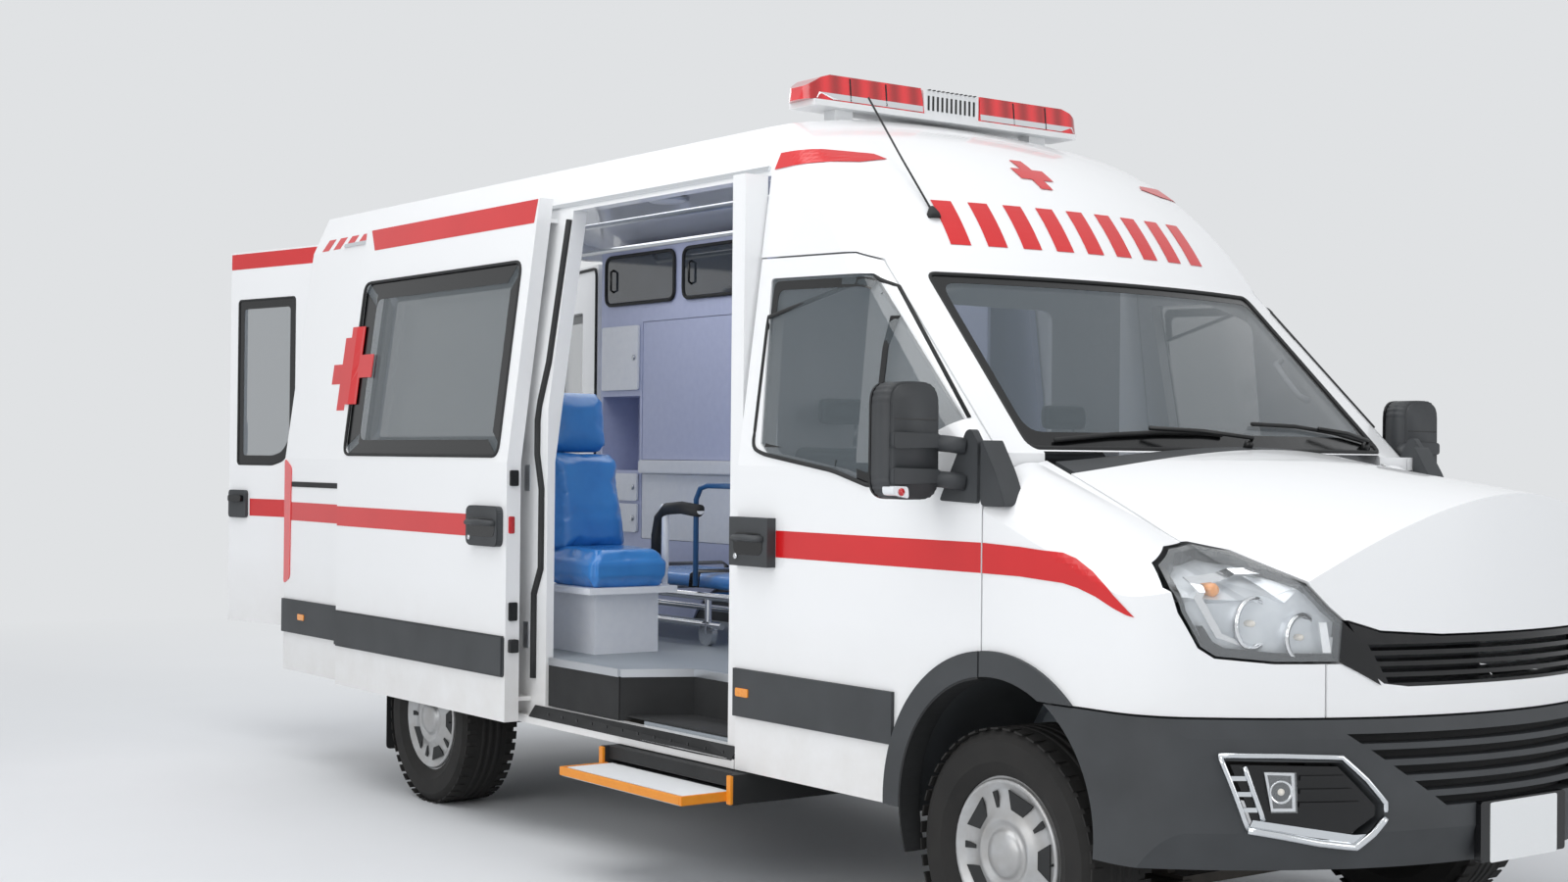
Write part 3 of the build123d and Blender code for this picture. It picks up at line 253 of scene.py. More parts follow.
# Unpainted mouldings: injection moulded polypropylene, grained in the tool, clipped on.
# The grain scatters the light, so it reads as a soft dark grey, paler where it has weathered.
grained_plastic = finish("grained_polypropylene", {"Roughness": 0.58}, [
    ("Noise", 220, {"Detail": 5.0}, {"Base Color": ("#2A2C2E", "#45484B")}),
    ("Voronoi", 2.2, {}, {"Normal": (0.25, 0.5)})])
dress(grained_plastic, "front_bumper", "side_mouldings", "front_door_trim_right", "front_door_trim_left",
      "mirror_right", "mirror_left", "cowl_grille", "light_bar_base", "wheel_arch_liners")

# Gloss black plastic of the grilles and lamp surrounds: moulded ABS straight from a polished tool.
gloss_black = finish("polished_black_abs", {"Base Color": "#0D0E10"}, [
    ("Noise", 60, {"Detail": 4.0}, {"Roughness": (0.14, 0.3)})])
dress(gloss_black, "upper_grille", "fog_lamps")

# Livery: red vinyl film cut on a plotter and laid by hand over the white paint along the waist and the
# roof edge. It ends in a curved point on each wing. The crosses are plain, and the dome carries a plain
# row of slanted bars.


def search_tree(*names):
    """One search tree over several CAD nodes."""
    verts, faces = [], []
    for name in names:
        part = cad[name]
        start = len(verts)
        verts += [part.matrix_world @ v.co for v in part.data.vertices]
        faces += [[start + i for i in p.vertices] for p in part.data.polygons]
    return BVHTree.FromPolygons(verts, faces)


def cut_sheet(outline, step, hole=None):
    """A flat outline as a mesh whose faces are no wider than a step; a hole has as many points as it."""
    sheet = bmesh.new()
    edge = [sheet.verts.new((u, v, 0)) for u, v in outline]
    if hole:
        inside = [sheet.verts.new((u, v, 0)) for u, v in hole]
        for k in range(len(edge)):
            sheet.faces.new([edge[k - 1], edge[k], inside[k], inside[k - 1]])
    else:
        sheet.faces.new(edge)
        sheet.normal_update()
        bmesh.ops.triangulate(sheet, faces=sheet.faces[:])
    for axis in (0, 1):
        low = min(p[axis] for p in outline)
        high = max(p[axis] for p in outline)
        cuts = int((high - low) / step)
        for k in range(1, cuts + 1):
            place, normal = [0, 0, 0], [0, 0, 0]
            place[axis] = low + k * (high - low) / (cuts + 1)
            normal[axis] = 1
            bmesh.ops.bisect_plane(sheet, geom=sheet.verts[:] + sheet.edges[:] + sheet.faces[:],
                                   plane_co=place, plane_no=normal)
    return sheet


def film(name, outline, face, nodes, material, lift=0.0011, step=0.05, thick=0.0008, hole=None,
         body="vehicle"):
    """A thin film laid on CAD nodes: an outline in a face's own u and v, dropped onto them."""
    origin, along, up = (Vector(v) for v in face)
    out = along.cross(up).normalized()
    tree = None if callable(nodes) else search_tree(*nodes)
    sheet = cut_sheet(outline, step, hole)
    lost = []
    for vert in sheet.verts:
        start = origin + along * vert.co.x + up * vert.co.y + out * 4
        hit = nodes(vert.co.x, vert.co.y) if tree is None else tree.ray_cast(start, -out)
        if hit[0] is None:
            lost.append(vert)
            continue
        normal = hit[1] if hit[1].dot(out) > 0 else -hit[1]
        vert.co = hit[0] + normal * lift
    bmesh.ops.delete(sheet, geom=lost, context="VERTS")
    bmesh.ops.recalc_face_normals(sheet, faces=sheet.faces[:])
    if sheet.faces and sum((f.normal.dot(out) for f in sheet.faces), 0.0) < 0:
        bmesh.ops.reverse_faces(sheet, faces=sheet.faces[:])
    sheet.normal_update()
    verts = list(sheet.verts)
    count, at = len(verts), {v: i for i, v in enumerate(verts)}
    points = [v.co.copy() for v in verts] + [v.co - v.normal * thick for v in verts]
    faces = [[at[loop.vert] for loop in f.loops] for f in sheet.faces]
    faces += [[i + count for i in reversed(face)] for face in faces]
    for edge in [e for e in sheet.edges if e.is_boundary]:
        loop = edge.link_loops[0]
        a, b = at[loop.vert], at[loop.link_loop_next.vert]
        faces.append([b, a, a + count, b + count])
    sheet.free()
    made = mesh_object(name, points, faces)
    made.data.materials.append(material)
    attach(made, body)
    return made


# Cast red vinyl: even, slightly satin, with a faint shrink ripple and paler where the sun has reached it.
red_film = finish("cast_red_vinyl_film", {"Roughness": 0.3, "Coat Weight": 0.3}, [
    ("Noise", 260, {"Detail": 3.0}, {"Base Color": ("#C8080F", "#D81A1F")}),
    ("Noise", 30, {"Detail": 2.0}, {"Normal": (0.1, 0.3)})])

waist = (1.131, 1.216)
sides = ((-1, "right"), (1, "left"))
swoosh = [(-0.049, 1.216), (0.100, 1.211), (0.177, 1.206), (0.262, 1.201), (0.308, 1.188), (0.372, 1.157),
          (0.435, 1.117), (0.486, 1.077), (0.522, 1.046), (0.501, 1.050), (0.454, 1.067), (0.393, 1.092),
          (0.328, 1.111), (0.272, 1.121), (0.216, 1.124), (0.101, 1.130), (-0.049, 1.131)]
roof_band_tip = [(-1.235, 2.398), (-1.03, 2.404), (-0.99, 2.412), (-0.985, 2.43), (-1.02, 2.448),
                 (-1.08, 2.455), (-1.235, 2.455)]
faces_out = {-1: ((0, 0, 0), (1, 0, 0), (0, 0, 1)), 1: ((0, 0, 0), (-1, 0, 0), (0, 0, 1))}
nose_out = ((0, 0, 0), (0, 1, 0), (0, 0, 1))


def oblong(left, right, low, high):
    """The four corners of a rectangle."""
    return [(left, low), (right, low), (right, high), (left, high)]


def mirrored(side, outline):
    """An outline for either side of the middle plane."""
    return [(side * u, v) for u, v in outline]


def from_side(side, outline):
    """An outline in a side's own u and v, from x measured forward of the front axle, and z."""
    return [(-side * (front_x + x), z) for x, z in outline]


def side_film(name, side, outline, nodes, **options):
    """A red film on one side of the vehicle."""
    return film(name, from_side(side, outline), faces_out[side], nodes, red_film, **options)


for side, hand in sides:
    side_film(f"wing_stripe_{hand}", side, swoosh, ["front_wings"], lift=0.002, step=0.015)
    side_film(f"front_door_stripe_{hand}", side, oblong(-1.028, -0.057, *waist), [f"front_door_{hand}"],
              body=f"front_door_{hand}_body")
    side_film(f"rear_side_stripe_{hand}", side, oblong(-4.953, -2.545 if side > 0 else -2.80, *waist),
              [f"side_panel_{hand}"])
    side_film(f"front_roof_band_{hand}", side, roof_band_tip, ["roof"], lift=0.003, step=0.015)
    for dash in range(5):
        x = -4.86 + dash * 0.125
        side_film(f"roof_edge_dash_{hand}_{dash}", side,
                  [(x, 2.396), (x + 0.075, 2.396), (x + 0.105, 2.45), (x + 0.03, 2.45)], ["roof"])
side_film("left_waist_stripe", 1, oblong(-2.535, -1.262, *waist), ["side_panel_left"])
side_film("left_roof_band", 1, oblong(-4.19, -1.262, 2.398, 2.455), ["roof"], lift=0.002, step=0.06)
side_film("sliding_door_stripe", -1, oblong(-4.148, -2.90, *waist), ["sliding_door"])
side_film("sliding_door_roof_band", -1, [(-4.045, 2.335), (-2.64, 2.335), (-2.63, 2.427), (-4.10, 2.427)],
          ["sliding_door"], step=0.08)

# Crosses: one beside each rear side window, one on the sliding door's edge and one on the dome.
side_cross = [(-4.54, 1.76), (-4.45, 1.76), (-4.45, 1.64), (-4.36, 1.64), (-4.36, 1.76), (-4.27, 1.76),
              (-4.27, 1.85), (-4.36, 1.85), (-4.36, 1.97), (-4.45, 1.97), (-4.45, 1.85), (-4.54, 1.85)]
for side, hand in sides:
    side_film(f"side_cross_{hand}", side, side_cross, [f"side_panel_{hand}"])

door_cross = [(-4.147, 1.66), (-4.036, 1.66), (-4.036, 1.775), (-3.917, 1.775), (-3.917, 1.875),
              (-4.036, 1.875), (-4.036, 2.00), (-4.147, 2.00)]
side_film("sliding_door_cross", -1, door_cross, ["sliding_door", "sliding_door_glass"], lift=0.009,
          thick=0.003)

cross_y, cross_z, cross_flat, arm, half = -0.035, 2.418, 0.8, 0.072, 0.026
plain_cross = [(-half, -arm), (half, -arm), (half, -half), (arm, -half), (arm, half), (half, half),
               (half, arm), (-half, arm), (-half, half), (-arm, half), (-arm, -half), (-half, -half)]
dome_cross = [(cross_y + u, cross_z + v * cross_flat) for u, v in plain_cross]
film("dome_cross", dome_cross, nose_out, ["roof"], red_film, lift=0.003, step=0.012)
for bar in range(9):
    y = -0.60 + bar * 0.134
    film(f"dome_bar_{bar}", [(y, 2.125), (y + 0.072, 2.125), (y + 0.1, 2.28), (y + 0.028, 2.28)], nose_out,
         ["roof"], red_film, lift=0.002, step=0.02)

# Rear leaves: the waist stripe goes on, and a band runs across the top of each leaf.
rear_overhang, rear_hinge_standoff, rear_hinge_y = 1.435, 0.024, 0.809
rear_open_angle = radians(102)
body_rear = rear_x - rear_overhang


def leaf_face(side, inward=1):
    """The plane of an open rear leaf: u from its hinge along it, and out of its outer or inner skin."""
    along = Vector((-sin(rear_open_angle), -side * cos(rear_open_angle), 0))
    return Vector((body_rear - rear_hinge_standoff, side * rear_hinge_y, 0)), inward * side * along, (0, 0, 1)


for side, hand in sides:
    for label, far, span in (("stripe", 0.62, waist), ("top_band", 0.798, (2.365, 2.442))):
        film(f"rear_leaf_{label}_{hand}", mirrored(side, oblong(0.012, far, *span)), leaf_face(side),
             [f"rear_door_{hand}"], red_film, step=0.2, body=f"rear_door_{hand}_body")


# Window borders: black ceramic frit printed on the edge of each pane and fired in, with an extruded
# rubber bead round the opening that hides the bonding. The door glass has a black bar where its fixed
# quarter meets the pane that winds down.


def rounded(outline, radius):
    """The outline with each corner turned into a small arc."""
    steps, made = 5, []
    for before, here, after in zip(outline[-1:] + outline[:-1], outline, outline[1:] + outline[:1]):
        corner = Vector(here)
        back, on = Vector(before) - corner, Vector(after) - corner
        reach = min(radius, back.length * 0.45, on.length * 0.45)
        start, end = corner + back.normalized() * reach, corner + on.normalized() * reach
        for k in range(steps + 1):
            t = k / steps
            made.append(tuple(start * (1 - t) ** 2 + corner * 2 * t * (1 - t) + end * t * t))
    return made


def drawn_in(outline, by):
    """The outline with every edge moved inward."""
    turns = [a[0] * b[1] - b[0] * a[1] for a, b in zip(outline, outline[1:] + outline[:1])]
    sense = -1 if sum(turns) > 0 else 1
    made = []
    for before, here, after in zip(outline[-1:] + outline[:-1], outline, outline[1:] + outline[:1]):
        into = (Vector(here) - Vector(before)).normalized()
        away = (Vector(after) - Vector(here)).normalized()
        reach = by * sense / (1 + into.dot(away))
        made.append((here[0] + (into.y + away.y) * reach, here[1] - (into.x + away.x) * reach))
    return made


def solid(verts, faces):
    """Points and faces as a bmesh whose faces look outward."""
    mesh = bmesh.new()
    points = [mesh.verts.new(v) for v in verts]
    for face in faces:
        mesh.faces.new([points[i] for i in face])
    bmesh.ops.recalc_face_normals(mesh, faces=mesh.faces[:])
    return mesh


def piece(name, mesh, material, body, smooth=False):
    """A bmesh as a finished piece that rides on a body."""
    made = mesh_object(name, [], [])
    mesh.to_mesh(made.data)
    mesh.free()
    made.data.polygons.foreach_set("use_smooth", [smooth] * len(made.data.polygons))
    made.data.materials.append(material)
    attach(made, body)
    return made


def tube(name, points, radius, material, closed=False, sides=8, squash=1.0, body="vehicle"):
    """A round tube along a path."""
    points = [Vector(p) for p in points]
    count = len(points)
    verts, faces = [], []
    normal = None
    for i, here in enumerate(points):
        ahead_of = points[(i + 1) % count] if closed or i < count - 1 else here
        behind = points[i - 1] if closed or i > 0 else here
        run = (ahead_of - behind).normalized()
        if normal is None:
            normal = run.orthogonal().normalized()
        normal = (normal - run * normal.dot(run)).normalized()
        side_way = run.cross(normal)
        for k in range(sides):
            angle = 2 * pi * k / sides
            verts.append(here + normal * radius * cos(angle) + side_way * radius * squash * sin(angle))
    rows = count if closed else count - 1
    for i in range(rows):
        for k in range(sides):
            a, b = i * sides + k, i * sides + (k + 1) % sides
            c, d = (i + 1) % count * sides + (k + 1) % sides, (i + 1) % count * sides + k
            faces.append([a, b, c, d])
    if not closed:
        faces.append(list(range(sides))[::-1])
        faces.append([rows * sides + k for k in range(sides)])
    return piece(name, solid(verts, faces), material, body, smooth=True)


def landed(outline, face, nodes, lift, step=0.03, closed=True):
    """Points along an outline, dropped onto CAD nodes."""
    origin, along, up = (Vector(v) for v in face)
    out = along.cross(up).normalized()
    tree = search_tree(*nodes)
    pairs = list(zip(outline, outline[1:] + outline[:1] if closed else outline[1:]))
    made = []
    for (u0, v0), (u1, v1) in pairs:
        run = sqrt((u1 - u0) ** 2 + (v1 - v0) ** 2)
        parts = max(1, round(run / step))
        for k in range(parts):
            t = k / parts
            start = origin + along * (u0 + (u1 - u0) * t) + up * (v0 + (v1 - v0) * t) + out * 4
            hit = tree.ray_cast(start, -out)
            if hit[0] is not None:
                normal = hit[1] if hit[1].dot(out) > 0 else -hit[1]
                made.append(hit[0] + normal * lift)
    return made


# Fired black enamel on the glass: dense, a little glossy, with a fine print grain.
frit = finish("fired_black_enamel", {"Base Color": "#0B0C0D"}, [
    ("Noise", 3, {"Detail": 2.0}, {"Roughness": (0.12, 0.26)})])

# Extruded rubber: matt charcoal, dusty in places, with faint drawing lines.
seal_rubber = finish("extruded_seal_rubber", {"Roughness": 0.72}, [
    ("Noise", 120, {"Detail": 4.0}, {"Base Color": ("#141516", "#2B2C2D")}),
    ("Noise", 4, {"Detail": 1.0}, {"Normal": (0.2, 0.4)})])

bead_radius = 0.007
screen = [(-0.800, 1.478), (0.800, 1.478), (0.738, 2.026), (-0.738, 2.026)]
screen_edge = rounded(drawn_in(screen, 0.003), 0.03)
screen_sight = rounded([(-0.762, 1.53), (0.762, 1.53), (0.706, 1.995), (-0.706, 1.995)], 0.05)
film("windscreen_border", screen_edge, nose_out, ["windscreen"], frit, lift=0.0008, step=0.06,
     hole=screen_sight)
tube("windscreen_bead", landed(rounded(drawn_in(screen, 0.004), 0.03), nose_out, ["windscreen"], 0.002),
     bead_radius, seal_rubber, closed=True, sides=6)

door_pane = [(-1.165, 1.480), (-1.105, 1.462), (-0.740, 1.414), (-0.554, 1.368), (-0.183, 1.585),
             (-0.25, 1.672), (-0.585, 1.965), (-0.690, 2.008), (-1.165, 2.022)]


def side_pane(name, side, outer, inner, radius, glass, shell, body="vehicle"):
    """The printed border and the bead of one side pane."""
    edge, sight = (from_side(side, rounded(line, radius)) for line in (outer, inner))
    film(f"{name}_border", edge, faces_out[side], [glass], frit, lift=0.0008, step=0.12, hole=sight,
         body=body)
    bead = from_side(side, rounded(drawn_in(outer, -0.004), radius))
    tube(f"{name}_bead", landed(bead, faces_out[side], [shell], 0.0), bead_radius, seal_rubber, closed=True,
         sides=6, body=body)


quarter_bar = [(-0.565, 1.40), (-0.540, 1.40), (-0.540, 1.97), (-0.565, 1.975)]
for side, hand in sides:
    glass, door_body = f"front_door_glass_{hand}", f"front_door_{hand}_body"
    side_pane(f"front_door_pane_{hand}", side, door_pane, drawn_in(door_pane, 0.03), 0.03, glass,
              f"front_door_{hand}", body=door_body)
    film(f"quarter_bar_{hand}", from_side(side, quarter_bar), faces_out[side], [glass], frit, lift=0.003,
         step=0.1, thick=0.003, body=door_body)
for side, hand in sides:
    side_pane(f"{hand}_rear_window", side, oblong(-4.088, -2.762, 1.452, 2.178),
              oblong(-4.0, -2.85, 1.52, 2.11), 0.05, "side_windows", f"side_panel_{hand}")
side_pane("sliding_door_window", -1, oblong(-4.088, -2.702, 1.446, 2.188),
          oblong(-3.97, -2.775, 1.505, 2.115), 0.05, "sliding_door_glass", "sliding_door")

leaf_pane = [(0.252, 1.502), (0.302, 1.442), (0.347, 1.407), (0.432, 1.387), (0.733, 1.387), (0.733, 2.208),
             (0.252, 2.208)]
for side, hand in sides:
    glass, leaf_body = f"rear_door_glass_{hand}", f"rear_door_{hand}_body"
    outer, inner = (mirrored(side, rounded(line, 0.02)) for line in (leaf_pane, drawn_in(leaf_pane, 0.045)))
    film(f"rear_leaf_border_{hand}", outer, leaf_face(side), [glass], frit, lift=0.0008, step=0.2, hole=inner,
         body=leaf_body)
    tube(f"rear_leaf_bead_{hand}", landed(outer, leaf_face(side), [f"rear_door_{hand}", glass], 0.0),
         bead_radius, seal_rubber, closed=True, sides=6, body=leaf_body)


# Headlamps: a clear polycarbonate lens over a tray of vacuum-metallised plastic, with two reflector bowls,
# their glass bulbs and a side lamp behind the outer end. A dark rim hides the glue line.


def prism(name, outline, face, low, high, material, bevel=0.0, segments=2, smooth=False, body="vehicle"):
    """A flat outline in a face's own u and v, made solid between two distances out of it."""
    origin, along, up = (Vector(v) for v in face)
    out = along.cross(up).normalized()
    count = len(outline)
    verts = [origin + along * u + up * v + out * depth for depth in (low, high) for u, v in outline]
    faces = [list(range(count))[::-1], list(range(count, 2 * count))]
    faces += [[k, (k + 1) % count, (k + 1) % count + count, k + count] for k in range(count)]
    mesh = solid(verts, faces)
    if bevel:
        bmesh.ops.bevel(mesh, geom=mesh.edges[:], offset=bevel, segments=segments, affect="EDGES",
                        clamp_overlap=True)
    return piece(name, mesh, material, body, smooth)


def turned(name, profile, centre, axis, material, steps=32, body="vehicle"):
    """A closed round form from a profile of radius and distance along its axis."""
    axis = Vector(axis).normalized()
    first = axis.orthogonal().normalized()
    second = axis.cross(first)
    verts, faces = [], []
    for k in range(steps):
        angle = 2 * pi * k / steps
        spoke = first * cos(angle) + second * sin(angle)
        verts += [Vector(centre) + spoke * radius + axis * along for radius, along in profile]
    count = len(profile)
    for k in range(steps):
        for i in range(count - 1):
            a, b = k * count + i, k * count + i + 1
            c, d = (k + 1) % steps * count + i + 1, (k + 1) % steps * count + i
            faces.append([a, b, c, d])
    mesh = solid(verts, faces)
    bmesh.ops.remove_doubles(mesh, verts=mesh.verts[:], dist=1e-6)
    bmesh.ops.holes_fill(mesh, edges=[e for e in mesh.edges if e.is_boundary], sides=0)
    bmesh.ops.recalc_face_normals(mesh, faces=mesh.faces[:])
    return piece(name, mesh, material, body, smooth=True)


def spot(face, nodes, u, v):
    """Where a face's u, v lands on CAD nodes."""
    origin, along, up = (Vector(k) for k in face)
    out = along.cross(up).normalized()
    return search_tree(*nodes).ray_cast(origin + along * u + up * v + out * 4, -out)[0]


def fitted(samples):
    """A smooth skin through points of the front: x as a curve of y and z."""
    rows = np.array([(1, y, z, y * y, y * z, z * z) for _, y, z in samples])
    terms = np.linalg.lstsq(rows, np.array([x for x, _, _ in samples]), rcond=None)[0]

    def skin(y, z):
        x = float(np.dot(terms, (1, y, z, y * y, y * z, z * z)))
        slope_y = terms[1] + 2 * terms[3] * y + terms[4] * z
        slope_z = terms[2] + terms[4] * y + 2 * terms[5] * z
        return Vector((x, y, z)), Vector((1, -slope_y, -slope_z)).normalized()
    return skin


# Hard-coated clear polycarbonate: colourless, wet looking, a trace of haze.
clear_lens = finish("clear_polycarbonate",
                    {"Base Color": "#EEF3F6", "Alpha": 0.10, "Coat Weight": 1.0, "Coat Roughness": 0.02},
                    [("Noise", 70, {"Detail": 3.0}, {"Roughness": (0.02, 0.08)})])

# Vacuum-metallised plastic: bright aluminium vapour under lacquer.
bright_plastic = finish("metallised_reflector", {"Base Color": "#E9EAEC", "Metallic": 1.0}, [
    ("Noise", 25, {"Detail": 2.0}, {"Roughness": (0.05, 0.14)})])

# Lamp tray: moulded plastic behind the lens, sprayed in satin silver.
lamp_silver = finish("satin_lamp_bezel", {"Roughness": 0.28, "Metallic": 0.35}, [
    ("Noise", 35, {"Detail": 3.0}, {"Base Color": ("#D3D9DF", "#EEF2F5")})])

# Bulbs: quartz glass, faintly warm and a little wavy.
bulb_glass = finish("quartz_bulb_glass", {"Base Color": "#F3EBDD", "Roughness": 0.06, "Coat Weight": 1.0}, [
    ("Noise", 6, {"Detail": 1.0}, {"Normal": (0.05, 0.2)})])

# Amber lenses: dyed acrylic, glossy and slightly uneven in tint.
amber_plastic = finish("amber_lens_plastic", {"Roughness": 0.12, "Coat Weight": 0.6}, [
    ("Noise", 8, {"Detail": 1.0}, {"Base Color": ("#E8861A", "#F7A63A")})])

# Opal light guide of the day running lamp: milky and smooth.
opal_lens = finish("opal_light_guide", {"Roughness": 0.25}, [
    ("Noise", 10, {"Detail": 1.0}, {"Base Color": ("#F4F7FA", "#FFFFFF")})])

lamp_line = [(0.941, 1.124), (0.905, 1.180), (0.835, 1.219), (0.741, 1.230), (0.700, 1.212), (0.664, 1.130),
             (0.614, 1.074), (0.578, 1.041), (0.585, 0.940), (0.740, 0.940), (0.863, 0.953), (0.893, 0.977),
             (0.929, 1.064)]
lamp_pieces, lamp = [], ["headlamps"]
for side, hand in sides:
    edge, rim = (mirrored(side, drawn_in(lamp_line, by)) for by in (0.001, 0.009))
    for label, hole, material, lift, step, thick in (
        ("lens", None, clear_lens, 0.002, 0.035, 0.003),
        ("rim", rim, gloss_black, -0.0015, 0.05, 0.045),
        ("tray", None, lamp_silver, -0.042, 0.05, 0.003),
    ):
        lamp_pieces.append(film(f"headlamp_{label}_{hand}", edge, nose_out, lamp, material, lift=lift,
                                step=step, thick=thick, hole=hole))
    for place, u, v, size in (("outer", 0.765, 1.035, 0.058), ("inner", 0.655, 1.000, 0.052)):
        centre = spot(nose_out, lamp, side * u, v) + Vector((-0.03, 0, 0))
        bowl = [(size * sin(a), -size * 0.75 * cos(a)) for a in (0.0, 0.3, 0.6, 0.9, 1.2, 1.5)]
        back = [(r * 1.06 + 0.002, z - 0.004) for r, z in reversed(bowl[1:])] + [(0, bowl[0][1] - 0.006)]
        bulb = [(0, -0.03), (0.009, -0.03), (0.009, -0.006), (0.006, 0.0), (0, 0.002)]
        collar = [(size, -0.006), (size + 0.012, -0.006), (size + 0.012, 0.001), (size, 0.001),
                  (size, -0.006)]
        for label, profile, material, steps in (("bowl", bowl + back, bright_plastic, 32),
                                                ("bulb", bulb, bulb_glass, 16),
                                                ("collar", collar, bright_plastic, 32)):
            lamp_pieces.append(turned(f"headlamp_{label}_{place}_{hand}", profile, centre, (1, 0, 0),
                                      material, steps))
    end = spot(nose_out, lamp, side * 0.86, 1.12)
    lamp_pieces.append(turned(f"headlamp_indicator_{hand}",
                              [(0, -0.03), (0.018, -0.03), (0.018, 0.0), (0.012, 0.008), (0, 0.012)],
                              end + Vector((-0.03, -side * 0.02, 0)), (1, 0, 0), amber_plastic, steps=16))
    sweep = mirrored(side, [(0.70, 1.185), (0.88, 1.165), (0.905, 1.10), (0.86, 1.00), (0.80, 0.975),
                            (0.80, 0.985), (0.848, 1.01), (0.888, 1.10), (0.868, 1.15), (0.70, 1.172)])
    lamp_pieces.append(film(f"headlamp_guide_{hand}", sweep, nose_out, lamp, bright_plastic, lift=-0.016,
                            step=0.04, thick=0.003))
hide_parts("headlamps")
for side, hand in sides:
    for label, line, material, thick in (
        ("bar", [(0.604, 0.962), (0.624, 0.962), (0.634, 1.040), (0.616, 1.040)], opal_lens, 0.004),
        ("shade", [(0.600, 0.945), (0.740, 0.945), (0.858, 0.958), (0.886, 0.982), (0.902, 1.030),
                   (0.888, 1.030), (0.868, 0.990), (0.845, 0.974), (0.735, 0.962), (0.600, 0.960)],
         gloss_black, 0.003),
    ):
        lamp_pieces.append(film(f"headlamp_{label}_{hand}", mirrored(side, line), nose_out, lamp, material,
                                lift=-0.010, step=0.05, thick=thick))
    around = ((0.582, 1.043), (0.530, 0.992), (0.500, 0.915), (0.480, 0.878), (0.540, 0.912), (0.589, 0.938))
    samples = [spot(nose_out, ["nose_panel", "upper_grille", "headlamps"], side * (y + k), z + 0.3 * k)
               for y, z in around for k in (-0.02, 0.0, 0.02)]
    film(f"grille_wing_{hand}", mirrored(side, around), nose_out,
         fitted([p for p in samples if p and p.x > front_x + 0.85]), gloss_black, lift=0.004, step=0.02)

# Fog lamps: a chromed moulding round a black pocket with a square clear lamp and three slats.
chromed_plastic = finish("chromed_abs", {"Base Color": "#DDE0E3", "Metallic": 1.0}, [
    ("Noise", 45, {"Detail": 3.0}, {"Roughness": (0.06, 0.2)})])
for side, hand in sides:
    around = [(0.45, 0.50), (0.44, 0.56), (0.46, 0.62), (0.54, 0.72), (0.62, 0.73), (0.72, 0.735),
              (0.82, 0.74), (0.90, 0.72), (0.89, 0.64), (0.86, 0.56), (0.83, 0.49), (0.74, 0.475),
              (0.64, 0.455), (0.54, 0.45)]
    bumper_skin = fitted([spot(nose_out, ["front_bumper"], side * y, z) for y, z in around])

    def fog(label, outline, material, lift, thick):
        """One layer of the fog lamp, from its outline seen from the front."""
        film(f"fog_{label}_{hand}", mirrored(side, outline), nose_out, bumper_skin,
                               material, lift=lift, step=0.04, thick=thick)
    for label, line, size in (
        ("top", [(0.866, 0.704), (0.730, 0.703), (0.592, 0.698), (0.530, 0.640), (0.478, 0.580),
                 (0.476, 0.556)], 0.0075),
        ("low", [(0.800, 0.514), (0.720, 0.498), (0.640, 0.480), (0.545, 0.466), (0.505, 0.500),
                 (0.474, 0.540)], 0.0105),
        ("side", [(0.862, 0.700), (0.832, 0.610), (0.800, 0.516)], 0.0075),
        ("inner", [(0.812, 0.676), (0.792, 0.610), (0.768, 0.540)], 0.0075),
    ):
        path = [(side * (u0 + (u1 - u0) * t), v0 + (v1 - v0) * t)
                for (u0, v0), (u1, v1) in zip(line, line[1:]) for t in (0.0, 0.25, 0.5, 0.75)]
        landings = [bumper_skin(u, v) for u, v in path + [(side * line[-1][0], line[-1][1])]]
        tube(f"fog_{label}_trim_{hand}", [at + normal * 0.006 for at, normal in landings],
                               size, chromed_plastic, sides=10)
    fog("low_lip", [(0.800, 0.512), (0.545, 0.462), (0.500, 0.500), (0.552, 0.498), (0.790, 0.540)],
        chromed_plastic, 0.004, 0.006)
    for rung, z in enumerate((0.560, 0.600, 0.640)):
        lean = (z - 0.54) * 0.32
        fog(f"side_rung_{rung}", [(0.768 + lean, z), (0.812 + lean, z), (0.815 + lean, z + 0.012),
                                  (0.771 + lean, z + 0.012)], chromed_plastic, 0.006, 0.006)
    fog("pocket", [(0.84, 0.68), (0.60, 0.674), (0.50, 0.57), (0.50, 0.545), (0.56, 0.50), (0.79, 0.535)],
        gloss_black, -0.002, 0.010)
    fog("lamp_frame", [(0.770, 0.662), (0.704, 0.660), (0.698, 0.562), (0.752, 0.562)], bright_plastic, 0.006,
        0.006)
    fog("lamp_well", [(0.763, 0.655), (0.711, 0.653), (0.706, 0.570), (0.748, 0.570)], gloss_black, 0.0068,
        0.004)
    at, normal = bumper_skin(side * 0.733, 0.612)
    dish = [(0.010, -0.006), (0.022, 0.000), (0.028, 0.007), (0.030, 0.007), (0.024, -0.002), (0.010, -0.009),
            (0.010, -0.006)]
    turned(f"fog_reflector_{hand}", dish, at + normal * 0.003, normal, bright_plastic,
                             steps=20)
    turned(f"fog_bulb_{hand}", [(0, 0), (0.009, 0), (0.009, 0.006), (0, 0.010)],
                             at + normal * 0.003, normal, bulb_glass, steps=16)
    fog("lamp_glass", [(0.772, 0.664), (0.702, 0.662), (0.696, 0.560), (0.754, 0.560)], clear_lens, 0.014,
        0.002)
    for slat in range(3):
        z = 0.572 + slat * 0.034
        fog(f"slat_{slat}", oblong(0.690, 0.545 + slat * 0.02, z, z + 0.012), gloss_black, 0.006, 0.008)
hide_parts("fog_lamps")

